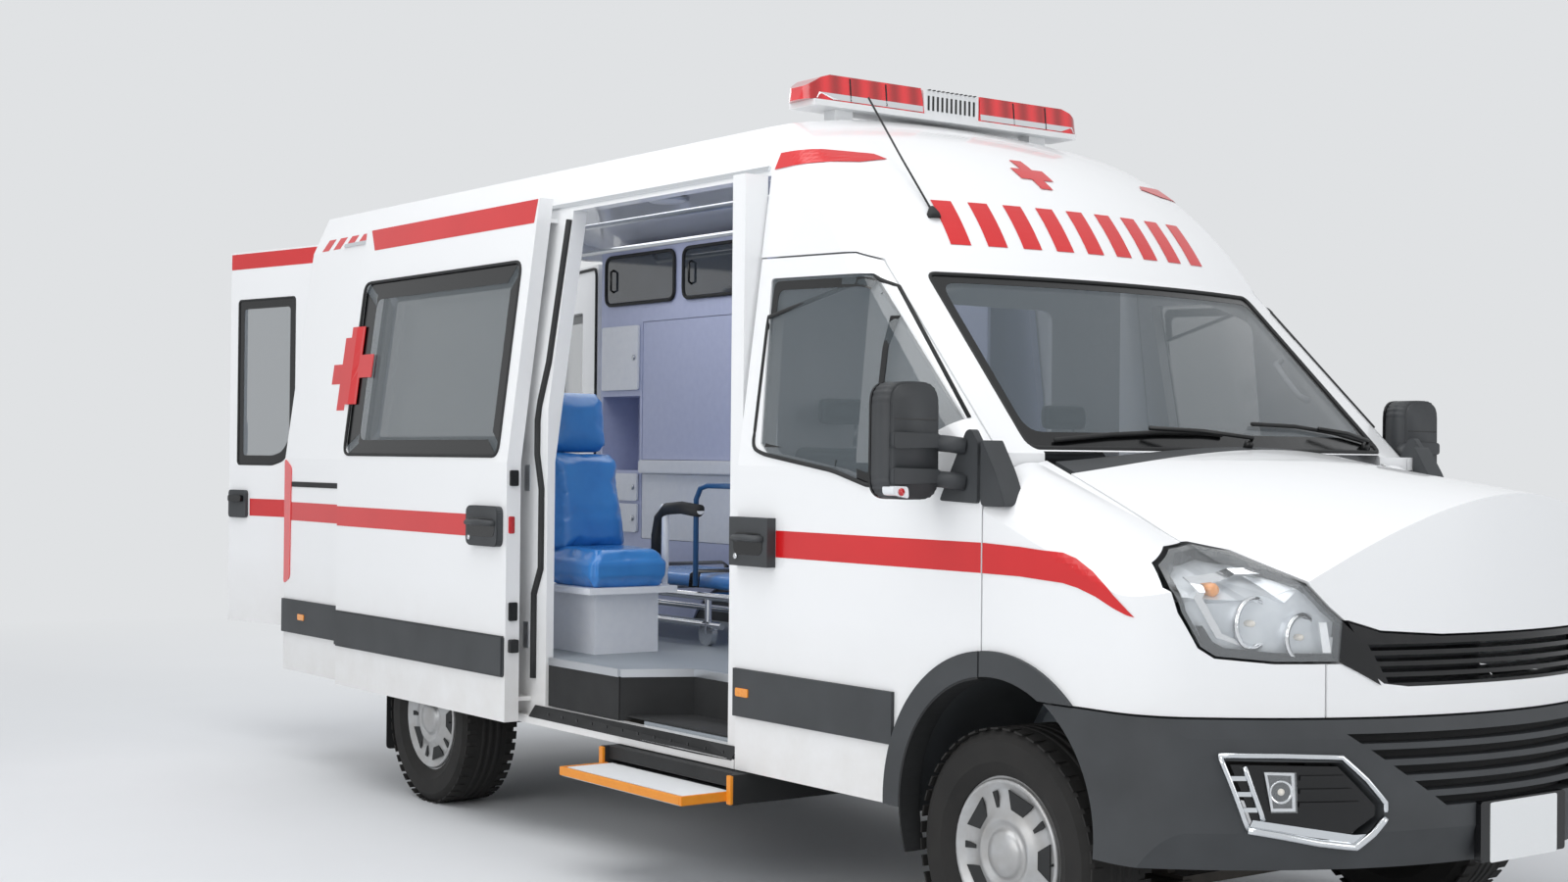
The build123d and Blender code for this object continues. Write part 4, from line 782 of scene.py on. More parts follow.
# Intake: a dark sheet closes the view behind the bumper's bars; it is painted shade for the hollow behind
# them.
samples = [spot(nose_out, ["front_bumper"], y / 10, z / 100) for y in range(-7, 8) for z in range(48, 82, 3)]
film("intake_shade_sheet", oblong(-0.66, 0.66, 0.55, 0.76), nose_out,
     fitted([p for p in samples if p]), seal_rubber, lift=-0.052, step=0.12, thick=0.003)

# Number plate: a blank white pressed plate on a black moulded carrier.
plate_white = finish("blank_reflective_plate", {"Roughness": 0.35}, [
    ("Voronoi", 1.5, {}, {"Base Color": ("#E9EBEC", "#F4F5F5")})])
plate_face = ((front_x + 0.9985, 0, 0), (0, 1, 0), (0, 0, 1))
prism("plate_carrier", rounded(oblong(-0.19, 0.19, 0.405, 0.565), 0.01), plate_face, -0.02, 0.0, gloss_black)
prism("number_plate", rounded(oblong(-0.15, 0.15, 0.402, 0.560), 0.008), plate_face, 0.0, 0.0015, plate_white)

# Wipers: pressed steel arms, sprayed black, on spindles in the scuttle, each with a flat rubber blade.
wiper_black = finish("sprayed_wiper_steel", {"Base Color": "#121314"}, [
    ("Noise", 20, {"Detail": 3.0}, {"Roughness": (0.3, 0.5)})])
for label, pivot, middle, blade in (
    ("right", (-0.02, 1.492), (-0.36, 1.535),
     [(-0.70, 1.500), (-0.50, 1.518), (-0.30, 1.528), (-0.05, 1.530)]),
    ("left", (0.70, 1.492), (0.44, 1.545),
     [(0.13, 1.560), (0.35, 1.556), (0.55, 1.538), (0.76, 1.505)]),
):
    root = spot(nose_out, ["windscreen", "cowl_grille", "bonnet"], *pivot)
    grip = spot(nose_out, ["windscreen"], *middle) + Vector((0.03, 0, 0.012))
    tube(f"wiper_arm_{label}",
         [root, root + Vector((0.02, 0, 0.03)), (root + grip) / 2 + Vector((0.02, 0, 0.02)), grip], 0.007,
         wiper_black, sides=6)
    turned(f"wiper_spindle_{label}", [(0, -0.01), (0.014, -0.01), (0.014, 0.018), (0.008, 0.024), (0, 0.024)],
           root, (0.5, 0, 1), wiper_black, steps=16)
    tip = spot(nose_out, ["windscreen"], *blade[-1]) + Vector((0.012, 0, 0))
    tube(f"wiper_blade_{label}",
         landed(blade, nose_out, ["windscreen"], 0.010, step=0.06, closed=False) + [tip], 0.007, seal_rubber,
         sides=6)

# Light bar: red acrylic covers screwed to an alloy tray on two feet, with lamp units inside, and a white
# moulded loudspeaker cover pierced with slots between them.


def repeat_tree(label):
    """A node group that sets copies of its mesh on a grid or round a circle and gives them a material."""
    tree = bpy.data.node_groups.new(label, "GeometryNodeTree")
    face = tree.interface
    for name, kind in (("Geometry", "NodeSocketGeometry"), ("Columns", "NodeSocketInt"),
                       ("Rows", "NodeSocketInt"), ("Pitch", "NodeSocketVector"), ("Turn", "NodeSocketFloat"),
                       ("Finish", "NodeSocketMaterial")):
        face.new_socket(name, in_out="INPUT", socket_type=kind)
    face.new_socket("Geometry", in_out="OUTPUT", socket_type="NodeSocketGeometry")
    given = node(tree, "NodeGroupInput")
    total = node(tree, "ShaderNodeMath", {0: given.outputs["Columns"], 1: given.outputs["Rows"]},
                 operation="MULTIPLY")
    index = node(tree, "GeometryNodeInputIndex")
    column = node(tree, "ShaderNodeMath", {0: index.outputs[0], 1: given.outputs["Columns"]},
                  operation="MODULO")
    row = node(tree, "ShaderNodeMath", {0: index.outputs[0], 1: given.outputs["Columns"]}, operation="DIVIDE")
    row = node(tree, "ShaderNodeMath", {0: row.outputs[0]}, operation="FLOOR")
    cell = node(tree, "ShaderNodeCombineXYZ", {0: column.outputs[0], 1: row.outputs[0]})
    place = node(tree, "ShaderNodeVectorMath", {0: cell.outputs[0], 1: given.outputs["Pitch"]},
                 operation="MULTIPLY")
    points = node(tree, "GeometryNodePoints", {"Count": total.outputs[0], "Position": place.outputs[0]})
    angle = node(tree, "ShaderNodeMath", {0: index.outputs[0], 1: given.outputs["Turn"]},
                 operation="MULTIPLY")
    turn = node(tree, "ShaderNodeCombineXYZ", {2: angle.outputs[0]})
    copies = node(tree, "GeometryNodeInstanceOnPoints", {"Points": points.outputs[0],
                                                         "Instance": given.outputs["Geometry"],
                                                         "Rotation": turn.outputs[0]})
    real = node(tree, "GeometryNodeRealizeInstances", {"Geometry": copies.outputs[0]})
    dressed = node(tree, "GeometryNodeSetMaterial",
                   {"Geometry": real.outputs[0], "Material": given.outputs["Finish"]})
    node(tree, "NodeGroupOutput", {"Geometry": dressed.outputs[0]})
    return tree


repeater = repeat_tree("repeated_piece")


def as_shaped(made):
    """A new mesh of an object as its modifiers shape it now."""
    return bpy.data.meshes.new_from_object(made.evaluated_get(bpy.context.evaluated_depsgraph_get()))


def repeated(name, verts, faces, frame_at, material, columns=1, rows=1, pitch=(0, 0, 0), turn=0.0,
             body="vehicle"):
    """Copies of one small form, made with Geometry Nodes, kept as a plain mesh in its place."""
    made = mesh_object(name, verts, faces)
    add = made.modifiers.new("repeat", "NODES")
    add.node_group = repeater
    given = {"Columns": columns, "Rows": rows, "Pitch": pitch, "Turn": turn, "Finish": material}
    for item in repeater.interface.items_tree:
        if item.in_out == "INPUT" and item.name in given:
            add[item.identifier] = given[item.name]
    made.update_tag()
    bpy.context.view_layer.update()
    done = as_shaped(made)
    made.modifiers.clear()
    made.data = done
    done.transform(frame_at)
    tidy = bmesh.new()
    tidy.from_mesh(done)
    bmesh.ops.recalc_face_normals(tidy, faces=tidy.faces[:])
    tidy.to_mesh(done)
    tidy.free()
    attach(made, body)
    return made


def brick(low, high):
    """The points and faces of a box between two corners."""
    verts = [(x, y, z) for x in (low[0], high[0]) for y in (low[1], high[1]) for z in (low[2], high[2])]
    return verts, [(0, 1, 3, 2), (4, 6, 7, 5), (0, 4, 5, 1), (2, 3, 7, 6), (0, 2, 6, 4), (1, 5, 7, 3)]


def facing(origin, x_dir, y_dir):
    """The matrix of a frame from its origin and two of its directions."""
    x_dir, y_dir = Vector(x_dir).normalized(), Vector(y_dir).normalized()
    z_dir = x_dir.cross(y_dir)
    return Matrix(((x_dir.x, y_dir.x, z_dir.x, origin[0]), (x_dir.y, y_dir.y, z_dir.y, origin[1]),
                   (x_dir.z, y_dir.z, z_dir.z, origin[2]), (0, 0, 0, 1)))


# Loudspeaker cover and tray: white ABS, coloured right through, with a satin skin.
white_moulding = finish("white_moulded_abs", {"Roughness": 0.42}, [
    ("Noise", 80, {"Detail": 4.0}, {"Base Color": ("#DADCDD", "#ECEDEE")})])
dress(white_moulding, "light_bar_base")

# Red acrylic: deep and glassy, with upright optic flutes 14 mm apart moulded inside.
red_acrylic, tree, shader = blank_material("fluted_red_acrylic")
flutes = node(tree, "ShaderNodeTexWave",
              {"Vector": coords(tree), "Scale": per_mm(14) / 20, "Distortion": 0.0}, bands_direction="Y")
depth = node(tree, "ShaderNodeMix", {0: flutes.outputs[1], 6: linear("#A50D12"), 7: linear("#E2232A")},
             data_type="RGBA")
tree.links.new(depth.outputs[2], shader.inputs["Base Color"])
relief = node(tree, "ShaderNodeBump", {"Height": flutes.outputs[1], "Distance": 0.001, "Strength": 0.4})
tree.links.new(relief.outputs[0], shader.inputs["Normal"])
shader.inputs["Roughness"].default_value = 0.12
shader.inputs["Coat Weight"].default_value = 1.0
shader.inputs["Coat Roughness"].default_value = 0.03
dress(red_acrylic, "light_bar_lenses", "tail_lamps")

bar_x, bar_front = front_x - 1.420, front_x - 1.345
for side, hand in sides:
    film(f"light_bar_clear_strip_{hand}",
         mirrored(side, [(0.137, 2.682), (0.61, 2.682), (0.60, 2.703), (0.137, 2.703)]), nose_out,
         ["light_bar_lenses"], bright_plastic, lift=0.001, step=0.1, thick=0.002)
    for joint in (0.30, 0.46):
        film(f"light_bar_joint_{hand}_{joint * 100:.0f}",
             oblong(side * joint, side * (joint + 0.006), 2.682, 2.762), nose_out, ["light_bar_lenses"],
             gloss_black, lift=0.001, step=0.05, thick=0.002)
# The slots are dark bricks set on the white cover: painted shade for the dark inside of each slot.
slot_form, slot_row = brick((0, 0, -0.002), (0.008, 0.052, 0.001)), {"columns": 11, "pitch": (0.0215, 0, 0)}
for label, face_x, way in (("front", bar_front - 0.004, 1), ("rear", bar_x - 0.071, -1)):
    repeated(f"light_bar_slots_{label}", *slot_form,
             facing((face_x, -way * 0.112, 2.692), (0, way, 0), (0, 0, 1)), seal_rubber, **slot_row)
repeated("light_bar_slots_top", *brick((0, 0, -0.002), (0.008, 0.09, 0.001)),
         facing((bar_x - 0.01, -0.112, 2.7645), (0, 1, 0), (1, 0, 0)) @ Matrix.Scale(-1, 4, (0, 0, 1)),
         seal_rubber, **slot_row)

# Door mirrors: a ribbed black housing over a die-cast frame on two arms, a heated glass facing the driver
# and a small side lamp in its foot. The fixed corner ahead of the door carries the same black plastic.
# Silvered glass under a trace of road film, and a frosted lens with small prisms inside.
mirror_glass = finish("silvered_mirror_glass", {"Base Color": "#D6DCE0", "Metallic": 1.0}, [
    ("Noise", 50, {"Detail": 4.0}, {"Roughness": (0.02, 0.09)})])
mirror_y = 1.145
mirror_lens = finish("white_mirror_lamp_lens",
                     {"Base Color": "#E9ECEF", "Roughness": 0.12, "Coat Weight": 0.8},
                     [("Voronoi", 3, {}, {"Normal": (0.3, 0.5)})])
for side, hand in sides:
    door_body = f"front_door_{hand}_body"
    head = ((front_x - 0.270, side * mirror_y, 1.5), (0, 1, 0), (0, 0, 1))
    line = rounded([(-0.092, -0.166), (0.092, -0.166), (0.090, 0.166), (-0.090, 0.166)], 0.06)
    lamp_line = mirrored(side, [(0.030, -0.163), (0.088, -0.152), (0.090, -0.127), (0.034, -0.129)])
    housing = prism(f"mirror_housing_{hand}", line, head, 0.004, 0.098, grained_plastic, bevel=0.026,
                    segments=4, smooth=True, body=door_body)
    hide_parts(f"mirror_{hand}")
    plates = [("frame", line, -0.002, 0.012, gloss_black, 0.003),
              ("glass", drawn_in(line, 0.012), -0.004, 0.0, mirror_glass, 0.0),
              ("lamp", rounded(lamp_line, 0.010), 0.060, 0.109, mirror_lens, 0.004),
              ("seam", rounded(oblong(-0.078, 0.078, 0.058, 0.061), 0.001), 0.09, 0.0985, gloss_black, 0.0)]
    for label, v in (("band_low", -0.100), ("band_high", 0.0)):
        band = [(-0.086, v - 0.024), (0.086, v - 0.020), (0.086, v + 0.020), (-0.086, v + 0.024)]
        plates.append((label, rounded(band, 0.012), 0.080, 0.108, grained_plastic, 0.006))
    for label, outline, low, high, material, bevel in plates:
        prism(f"mirror_{label}_{hand}", outline, head, low, high, material, bevel=bevel, body=door_body)
    turned(f"mirror_lamp_spot_{hand}", [(0, 0), (0.011, 0), (0.011, 0.003), (0, 0.004)],
           (front_x - 0.1615, side * (mirror_y + 0.060), 1.356), (1, 0, 0), red_acrylic, steps=16,
           body=door_body)
    arm_line = ((-0.118, 1.004, -0.012), (-0.150, 1.035, -0.006), (-0.205, 1.075, 0))
    for arm, z in (("low", 1.395), ("high", 1.497)):
        tube(f"mirror_arm_{arm}_{hand}", [(front_x + x, side * y, z + rise) for x, y, rise in arm_line],
             0.024, grained_plastic, sides=12, body=door_body)
    sail = [(-0.062, 1.325), (-0.062, 1.496), (-0.090, 1.535), (-0.112, 1.530), (-0.225, 1.330)]
    prism(f"mirror_foot_{hand}", from_side(side, rounded(sail, 0.012)), faces_out[side], 0.985, 1.012,
          grained_plastic, bevel=0.004, body=door_body)
    corner = [(-0.052, 1.318), (0.052, 1.318), (0.012, 1.410), (-0.052, 1.512)]
    prism(f"wing_corner_{hand}", from_side(side, rounded(corner, 0.02)), faces_out[side], 0.93, 1.010,
          grained_plastic, bevel=0.004)

# Arch edge of the front doors: a thin black rubber strip laid over the painted flange is painted shade, dark
# like the inside of the wheel arch.
for side, hand in sides:
    arc = [radians(98 + 4 * k) for k in range(27)]
    edge = [(front_x + radius * cos(a), 0.45 + radius * sin(a))
            for radius, angles in ((0.3945, arc), (0.3890, arc[::-1])) for a in angles]
    prism(f"door_arch_shade_strip_{hand}", mirrored(-side, edge), faces_out[side], 0.935, 1.011, seal_rubber,
          body=f"front_door_{hand}_body")

# Door handles: a grip of black ABS pivoted in a moulded plate, with a lock barrel at the wider end.
handle_low, handle_high = 1.098, 1.255
middle = (handle_low + handle_high) / 2
for label, side, rear_end, front_end, proud, body in (
    ("right_front", -1, -1.235, -1.035, 1.034, "front_door_right_body"),
    ("left_front", 1, -1.235, -1.035, 1.034, "front_door_left_body"),
    ("sliding", -1, -2.90, -2.645, 1.124, "vehicle"),
):
    face = faces_out[side]
    left, right = sorted((-side * (front_x + rear_end), -side * (front_x + front_end)))
    if label == "sliding":
        prism("handle_plate_sliding", rounded(oblong(left, right, handle_low, handle_high - 0.003), 0.03),
              face, 1.092, proud, grained_plastic, bevel=0.004, body=body)
    prism(f"handle_bowl_{label}",
          rounded(oblong(left + 0.02, right - 0.02, middle - 0.042, middle + 0.03), 0.03), face,
          proud - 0.002, proud + 0.0012, gloss_black, body=body)
    x_near, x_far = (front_x + rear_end + 0.022), (front_x + front_end - 0.022)
    grip = ((x_near, -0.004, 0.012), (x_near + 0.02, 0.016, 0.012), ((x_near + x_far) / 2, 0.022, 0.014),
            (x_far - 0.02, 0.016, 0.012), (x_far, -0.004, 0.012))
    tube(f"handle_grip_{label}", [(x, side * (proud + out), middle + rise) for x, out, rise in grip], 0.013,
         grained_plastic, sides=10, squash=0.8, body=body)
    turned(f"handle_lock_{label}", [(0, 0), (0.010, 0), (0.010, 0.004), (0.008, 0.006), (0, 0.006)],
           (x_near + 0.012, side * proud, middle - 0.048), (0, side, 0), chromed_plastic, steps=16, body=body)
for side, hand in sides:
    for label, line, radius, material, lift, thick in (
        ("plate", oblong(side * 0.635, side * 0.785, 1.12, 1.258), 0.02, grained_plastic, 0.016, 0.016),
        ("grip", oblong(side * 0.655, side * 0.765, 1.20, 1.232), 0.012, gloss_black, 0.034, 0.018),
    ):
        film(f"leaf_handle_{label}_{hand}", rounded(line, radius), leaf_face(side), [f"rear_door_{hand}"],
             material, lift=lift, step=0.2, thick=thick, body=f"rear_door_{hand}_body")

# Sliding door moulding and rails: a clipped-on protection strip, the rail that the middle roller runs in,
# and a bright drip rail under the roof edge.
prism("sliding_door_moulding", oblong(front_x - 4.146, front_x - 2.626, 0.607, 0.762), faces_out[-1], 1.092,
      1.110, grained_plastic, bevel=0.006)
film("sliding_door_rail", oblong(front_x - 4.87, front_x - 2.80, 1.288, 1.312), faces_out[-1],
     ["side_panel_right"], seal_rubber, lift=0.003, step=0.3, thick=0.003)
film("drip_rail", oblong(front_x - 4.60, front_x - 1.262, 2.396, 2.410), faces_out[-1], ["roof"],
     chromed_plastic, lift=0.010, step=0.2, thick=0.010)

# Marker lamps: amber reflectors bonded into the mouldings, two on each side.
for side, hand in sides:
    for label, x, body in (("side", -1.225, f"front_door_{hand}_body"), ("rear", -4.76, "vehicle")):
        marker = from_side(side, oblong(x, x + 0.07, 0.672, 0.700))
        prism(f"{label}_marker_{hand}", rounded(marker, 0.006), faces_out[side], 1.009, 1.016, amber_plastic,
              bevel=0.002, body=body)

# Tail lamps: red acrylic wrapping the corner, with amber and clear chambers.
tail_face = ((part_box("tail_lamps")[0][0], 0, 0), (0, -1, 0), (0, 0, 1))
for side, hand in sides:
    corner_lamp = from_side(side, [(-4.953, 0.83), (-4.885, 0.86), (-4.875, 1.38), (-4.953, 1.42)])
    film(f"tail_lamp_wrap_{hand}", rounded(corner_lamp, 0.02), faces_out[side], [f"side_panel_{hand}"],
         red_acrylic, lift=0.004, step=0.05, thick=0.004)
    for label, low, high, material in (("amber", 1.22, 1.30, amber_plastic),
                                       ("clear", 1.12, 1.19, clear_lens)):
        left, right = sorted((-side * 0.885, -side * 0.972))
        prism(f"tail_lamp_{label}_{hand}", rounded(oblong(left, right, low, high), 0.01), tail_face, -0.001,
              0.003, material, bevel=0.001)

# Antenna: a whip of black sheathed steel wire on a rubber foot, leaning back over the dome.
antenna_root = spot(nose_out, ["roof"], -0.60, 2.225)
turned("antenna_foot",
       [(0, -0.012), (0.024, -0.012), (0.022, 0.004), (0.012, 0.022), (0.006, 0.03), (0, 0.03)], antenna_root,
       (-0.3, 0, 1), seal_rubber, steps=20)
tube("antenna_whip", [antenna_root + Vector((-0.004, 0, 0.012)), antenna_root + Vector((-0.16, 0, 0.20)),
                      antenna_root + Vector((-0.335, 0, 0.42))], 0.0035, wiper_black)

# Mud flaps: cut rubber sheet hung behind the rear wheels from a steel strip.
flap_face = ((rear_x - 0.405, 0, 0), (0, -1, 0), (0, 0, 1))
for side, hand in sides:
    left, right = sorted((-side * 0.735, -side * 0.955))
    prism(f"mud_flap_{hand}", rounded(oblong(left, right, 0.17, 0.47), 0.02), flap_face, 0.0, 0.006,
          seal_rubber)

# Wheels: pressed steel rims sprayed silver, each under a moulded cover with five large windows and five
# narrow slots round a raised ring, and a plain dome over the hub nuts.

cover_profile = [(0, 0.010), (0.030, 0.009), (0.058, 0.004), (0.066, -0.004), (0.070, -0.012),
                 (0.082, -0.013), (0.092, -0.004), (0.102, -0.004), (0.112, -0.014), (0.160, -0.022),
                 (0.184, -0.018), (0.196, -0.006), (0.204, -0.004), (0.210, -0.012), (0.204, -0.020),
                 (0.190, -0.028), (0.100, -0.028), (0, -0.020)]

# Silver enamel with a fine metal flake, dulled in patches by brake dust.
silver_enamel = finish("silver_wheel_enamel", {"Metallic": 0.55, "Roughness": 0.36}, [
    ("Voronoi", 1.2, {}, {"Normal": (0.04, 0.3)}),
    ("Noise", 60, {"Detail": 5.0}, {"Base Color": ("#C6C9CC", "#9C9893")})])
dress(silver_enamel, "wheel_front_right", "wheel_front_left", "wheel_rear_right", "wheel_rear_left")

# Tyre: black rubber, matt and dusty, moulded with fine rings on the wall.
road_rubber = finish("moulded_tyre_rubber", {"Roughness": 0.82}, [
    ("Noise", 90, {"Detail": 6.0}, {"Base Color": ("#0F0F0F", "#262422")}),
    ("Noise", 5, {"Detail": 2.0}, {"Normal": (0.2, 0.4)})])
dress(road_rubber, "tyre_front_right", "tyre_front_left", "tyre_rear_right", "tyre_rear_left")


def ring_block(radii, half_angle, inner_half_angle, low, high):
    """A block whose plan is a piece of a ring, as points and faces round the local z axis."""
    inner, outer = radii
    plan = [(inner * cos(inner_half_angle), -inner * sin(inner_half_angle)),
            (outer * cos(half_angle), -outer * sin(half_angle)),
            (outer * cos(half_angle), outer * sin(half_angle)),
            (inner * cos(inner_half_angle), inner * sin(inner_half_angle))]
    verts = [(x, y, z) for z in (low, high) for x, y in plan]
    return verts, [(3, 2, 1, 0), (4, 5, 6, 7), (0, 1, 5, 4), (1, 2, 6, 5), (2, 3, 7, 6), (3, 0, 4, 7)]


tread_pitches = 45
pitch_angle, fifth = 2 * pi / tread_pitches, 2 * pi / 5
for place, axle_x in (("front", front_x), ("rear", rear_x)):
    for side, hand in sides:
        wheel = f"wheel_{place}_{hand}"
        body = f"{wheel}_body"
        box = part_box(wheel)
        face_y = side * max(abs(box[0][1]), abs(box[1][1]))
        hub = (axle_x, face_y + side * 0.013, axle_z)
        turned(f"{wheel}_cover", cover_profile, hub, (0, side, 0), silver_enamel, steps=48, body=body)
        spin = facing(hub, (1, 0, 0), (0, 0, -side))
        # The cover's windows and slots are dark blocks on its face: painted shade for the shaded rim seen
        # through each opening.
        for label, radii, angles, frame_at in (
            ("windows", (0.125, 0.178), (0.30, 0.20), spin),
            ("slots", (0.130, 0.176), (0.055, 0.04), spin @ Matrix.Rotation(fifth / 2, 4, "Z")),
        ):
            repeated(f"{wheel}_{label}", *ring_block(radii, *angles, -0.0215, -0.0150), frame_at, seal_rubber,
                     columns=5, turn=fifth, body=body)
        repeated(f"{wheel}_valve", *brick((0.186, -0.003, -0.02), (0.192, 0.003, 0.006)), spin, seal_rubber,
                 body=body)
        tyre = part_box(f"tyre_{place}_{hand}")
        radius = (tyre[1][0] - tyre[0][0]) / 2
        middle = (axle_x, (tyre[0][1] + tyre[1][1]) / 2, axle_z)
        mid_frame = facing(middle, (1, 0, 0), (0, 0, -side))
        half = (tyre[1][1] - tyre[0][1]) / 2
        tread = (radius - 0.004, radius + 0.0015)
        for row, across_at in enumerate((-0.76, 0.76)):
            low, high = (across_at - 0.20) * half, (across_at + 0.20) * half
            repeated(f"tyre_{place}_{hand}_tread_{row}",
                     *ring_block(tread, pitch_angle * 0.33, pitch_angle * 0.33, low, high), mid_frame,
                     road_rubber, columns=tread_pitches, turn=pitch_angle, body=body)
        for row, across_at in enumerate((-0.28, 0.0, 0.28)):
            rib = oblong(*tread, (across_at - 0.10) * half, (across_at + 0.10) * half)
            turned(f"tyre_{place}_{hand}_rib_{row}", rib + rib[:1], middle, (0, 1, 0), road_rubber, steps=40,
                   body=body)

# Load space: flat boards of foamed PVC with a lavender grey laminate, screwed to a frame and edged in
# aluminium. They make the lockers, the column with its open niche and the panel behind the stretcher.


def from_axle(points):
    """Points whose x is measured forward of the front axle."""
    return [(front_x + x, y, z) for x, y, z in points]


def panel(name, x_span, y_span, z_span, material, bevel=0.002):
    """A board between two corners, measured forward of the front axle."""
    face = ((front_x, 0, 0), (1, 0, 0), (0, 0, 1))
    return prism(name, oblong(*x_span, *z_span), face, -y_span[1], -y_span[0], material, bevel=bevel)


def board(low, high, name, roughness):
    """A laminate with a faint mottle and a satin finish."""
    return finish(name, {"Roughness": roughness}, [
        ("Noise", 35, {"Detail": 5.0}, {"Base Color": (low, high)}),
        ("Noise", 2.5, {"Detail": 2.0}, {"Normal": (0.06, 0.3)})])


lavender_board = board("#B4BBDA", "#C3C9E4", "lavender_laminate", 0.4)
pale_board = board("#E2E5EC", "#EFF1F5", "white_laminate", 0.35)
dress(lavender_board, "cabinet_wall")
dress(pale_board, "attendant_seat_base", "bulkhead")

# Brushed and anodised aluminium: long fine scratches along the extrusion.
anodised, tree, shader = blank_material("anodised_aluminium")
scratch = node(tree, "ShaderNodeTexNoise",
               {"Vector": coords(tree, scale=(4, 260, 260)), "Scale": 6.0, "Detail": 3.0})
rough = node(tree, "ShaderNodeMapRange", {"Value": scratch.outputs[0], "To Min": 0.22, "To Max": 0.42})
tree.links.new(rough.outputs[0], shader.inputs["Roughness"])
shader.inputs["Base Color"].default_value = linear("#C9CCD0")
shader.inputs["Metallic"].default_value = 1.0

# Smoked acrylic of the locker windows.
smoked = finish("smoked_acrylic", {"Roughness": 0.08, "Coat Weight": 1.0}, [
    ("Noise", 150, {"Detail": 3.0}, {"Base Color": ("#20242A", "#3A4149")})])

wall_y = 0.588
inner_front = wall_y + 0.004, wall_y + 0.020
for name, y_span, z_span, material, bevel in (
    ("back_panel", inner_front, (1.43, 2.108), lavender_board, 0.002),
    ("ledge", (wall_y - 0.022, wall_y + 0.03), (1.362, 1.428), pale_board, 0.006),
    ("low_front", inner_front, (1.042, 1.36), pale_board, 0.002),
):
    panel(name, (-4.328, -1.802), y_span, z_span, material, bevel=bevel)
inner_face = ((front_x, wall_y, 0), (1, 0, 0), (0, 0, 1))
for label, x0, x1, z0, z1 in (("column", -4.695, -4.352, 1.775, 2.095),
                              ("drawer_high", -4.695, -4.352, 1.225, 1.36),
                              ("drawer_low", -4.695, -4.352, 1.07, 1.21)):
    prism(f"door_{label}", rounded(oblong(x0, x1, z0, z1), 0.012), inner_face, 0.0, 0.012, pale_board,
          bevel=0.003)
    turned(f"knob_{label}", [(0, 0), (0.013, 0), (0.013, 0.006), (0.009, 0.010), (0, 0.010)],
           (front_x + x1 - 0.035, wall_y - 0.012, (z0 + z1) / 2), (0, -1, 0), anodised, steps=20)
for number, (x0, x1) in enumerate(((-4.665, -4.040), (-3.960, -3.310), (-3.230, -2.580), (-2.500, -1.850))):
    opening_line = rounded(oblong(x0, x1, 2.205, 2.445), 0.05)
    prism(f"locker_window_{number}", drawn_in(opening_line, 0.01), inner_face, 0.0, 0.006, smoked)
    tube(f"locker_seal_{number}", [(front_x + u, wall_y - 0.006, v) for u, v in opening_line], 0.009,
         seal_rubber, closed=True)
    tube(f"locker_grip_{number}", [(front_x + x0 + x, wall_y - y, z) for x, y, z in (
        (0.07, 0.006, 2.27), (0.075, 0.025, 2.28), (0.075, 0.025, 2.37), (0.07, 0.006, 2.38))], 0.006,
         gloss_black)
for number, y in enumerate((0.35, -0.25)):
    tube(f"ceiling_rail_{number}",
         from_axle([(-4.6, y, 2.50), (-4.55, y, 2.44), (-2.1, y, 2.44), (-2.05, y, 2.50)]), 0.012, anodised,
         sides=12)

# Ceiling lamps: opal acrylic in round alloy frames.
opal = finish("opal_acrylic", {"Roughness": 0.3}, [
    ("Noise", 20, {"Detail": 1.0}, {"Base Color": ("#F2F4F6", "#FFFFFF")})])
lamp_profile = [(0, 0), (0.085, 0), (0.085, 0.012), (0.07, 0.02), (0, 0.022)]
frame_profile = [(0.084, -0.002), (0.1, -0.002), (0.1, 0.01), (0.09, 0.014), (0.084, 0.012), (0.084, -0.002)]
for number, x in enumerate((-4.2, -3.3, -2.4)):
    for label, profile, material in (("lamp", lamp_profile, opal), ("lamp_frame", frame_profile, anodised)):
        turned(f"ceiling_{label}_{number}", profile, (front_x + x, 0.05, 2.578), (0, 0, -1), material)

# Floor: homogeneous vinyl safety flooring. The step well has black rubber risers, a mat and aluminium
# nosings. A riveted rubber strip covers the sill.
safety_vinyl = finish("flecked_safety_vinyl", {"Roughness": 0.5}, [
    ("Voronoi", 3, {}, {"Base Color": ("#7F868D", "#99A0A6"), "Normal": (0.15, 0.3)})])
dress(safety_vinyl, "floor")
well_plan = [(-2.526, -0.956), (-2.024, -0.956), (-1.900, -0.716), (-1.262, -0.716)]
for number, (start, end) in enumerate(zip(well_plan, well_plan[1:])):
    run = Vector((end[0] - start[0], end[1] - start[1], 0))
    face = ((front_x + start[0], start[1], 0), run.normalized(), (0, 0, 1))
    prism(f"well_riser_{number}", oblong(0, run.length, 0.503, 0.658), face, 0.0, 0.005, seal_rubber)
    prism(f"well_nosing_{number}", oblong(0, run.length, 0.656, 0.685), face, -0.004, 0.009, anodised,
          bevel=0.002)
plan = ((0, 0, 0), (1, 0, 0), (0, 1, 0))
prism("well_mat", [(front_x - 1.262, -0.708), (front_x - 1.885, -0.708), (front_x - 2.008, -0.935),
                   (front_x - 1.262, -0.935)], plan, 0.514, 0.520, seal_rubber)
film("sill_strip", oblong(front_x - 2.60, front_x - 1.262, 0.458, 0.499), faces_out[-1], ["side_panel_right"],
     seal_rubber, lift=0.004, step=0.2, thick=0.004)
repeated("sill_rivets", *brick((-0.005, -0.005, 0), (0.005, 0.005, 0.003)),
         facing((front_x - 2.45, -1.0035, 0.480), (1, 0, 0), (0, 0, 1)), gloss_black, columns=12,
         pitch=(0.104, 0, 0))

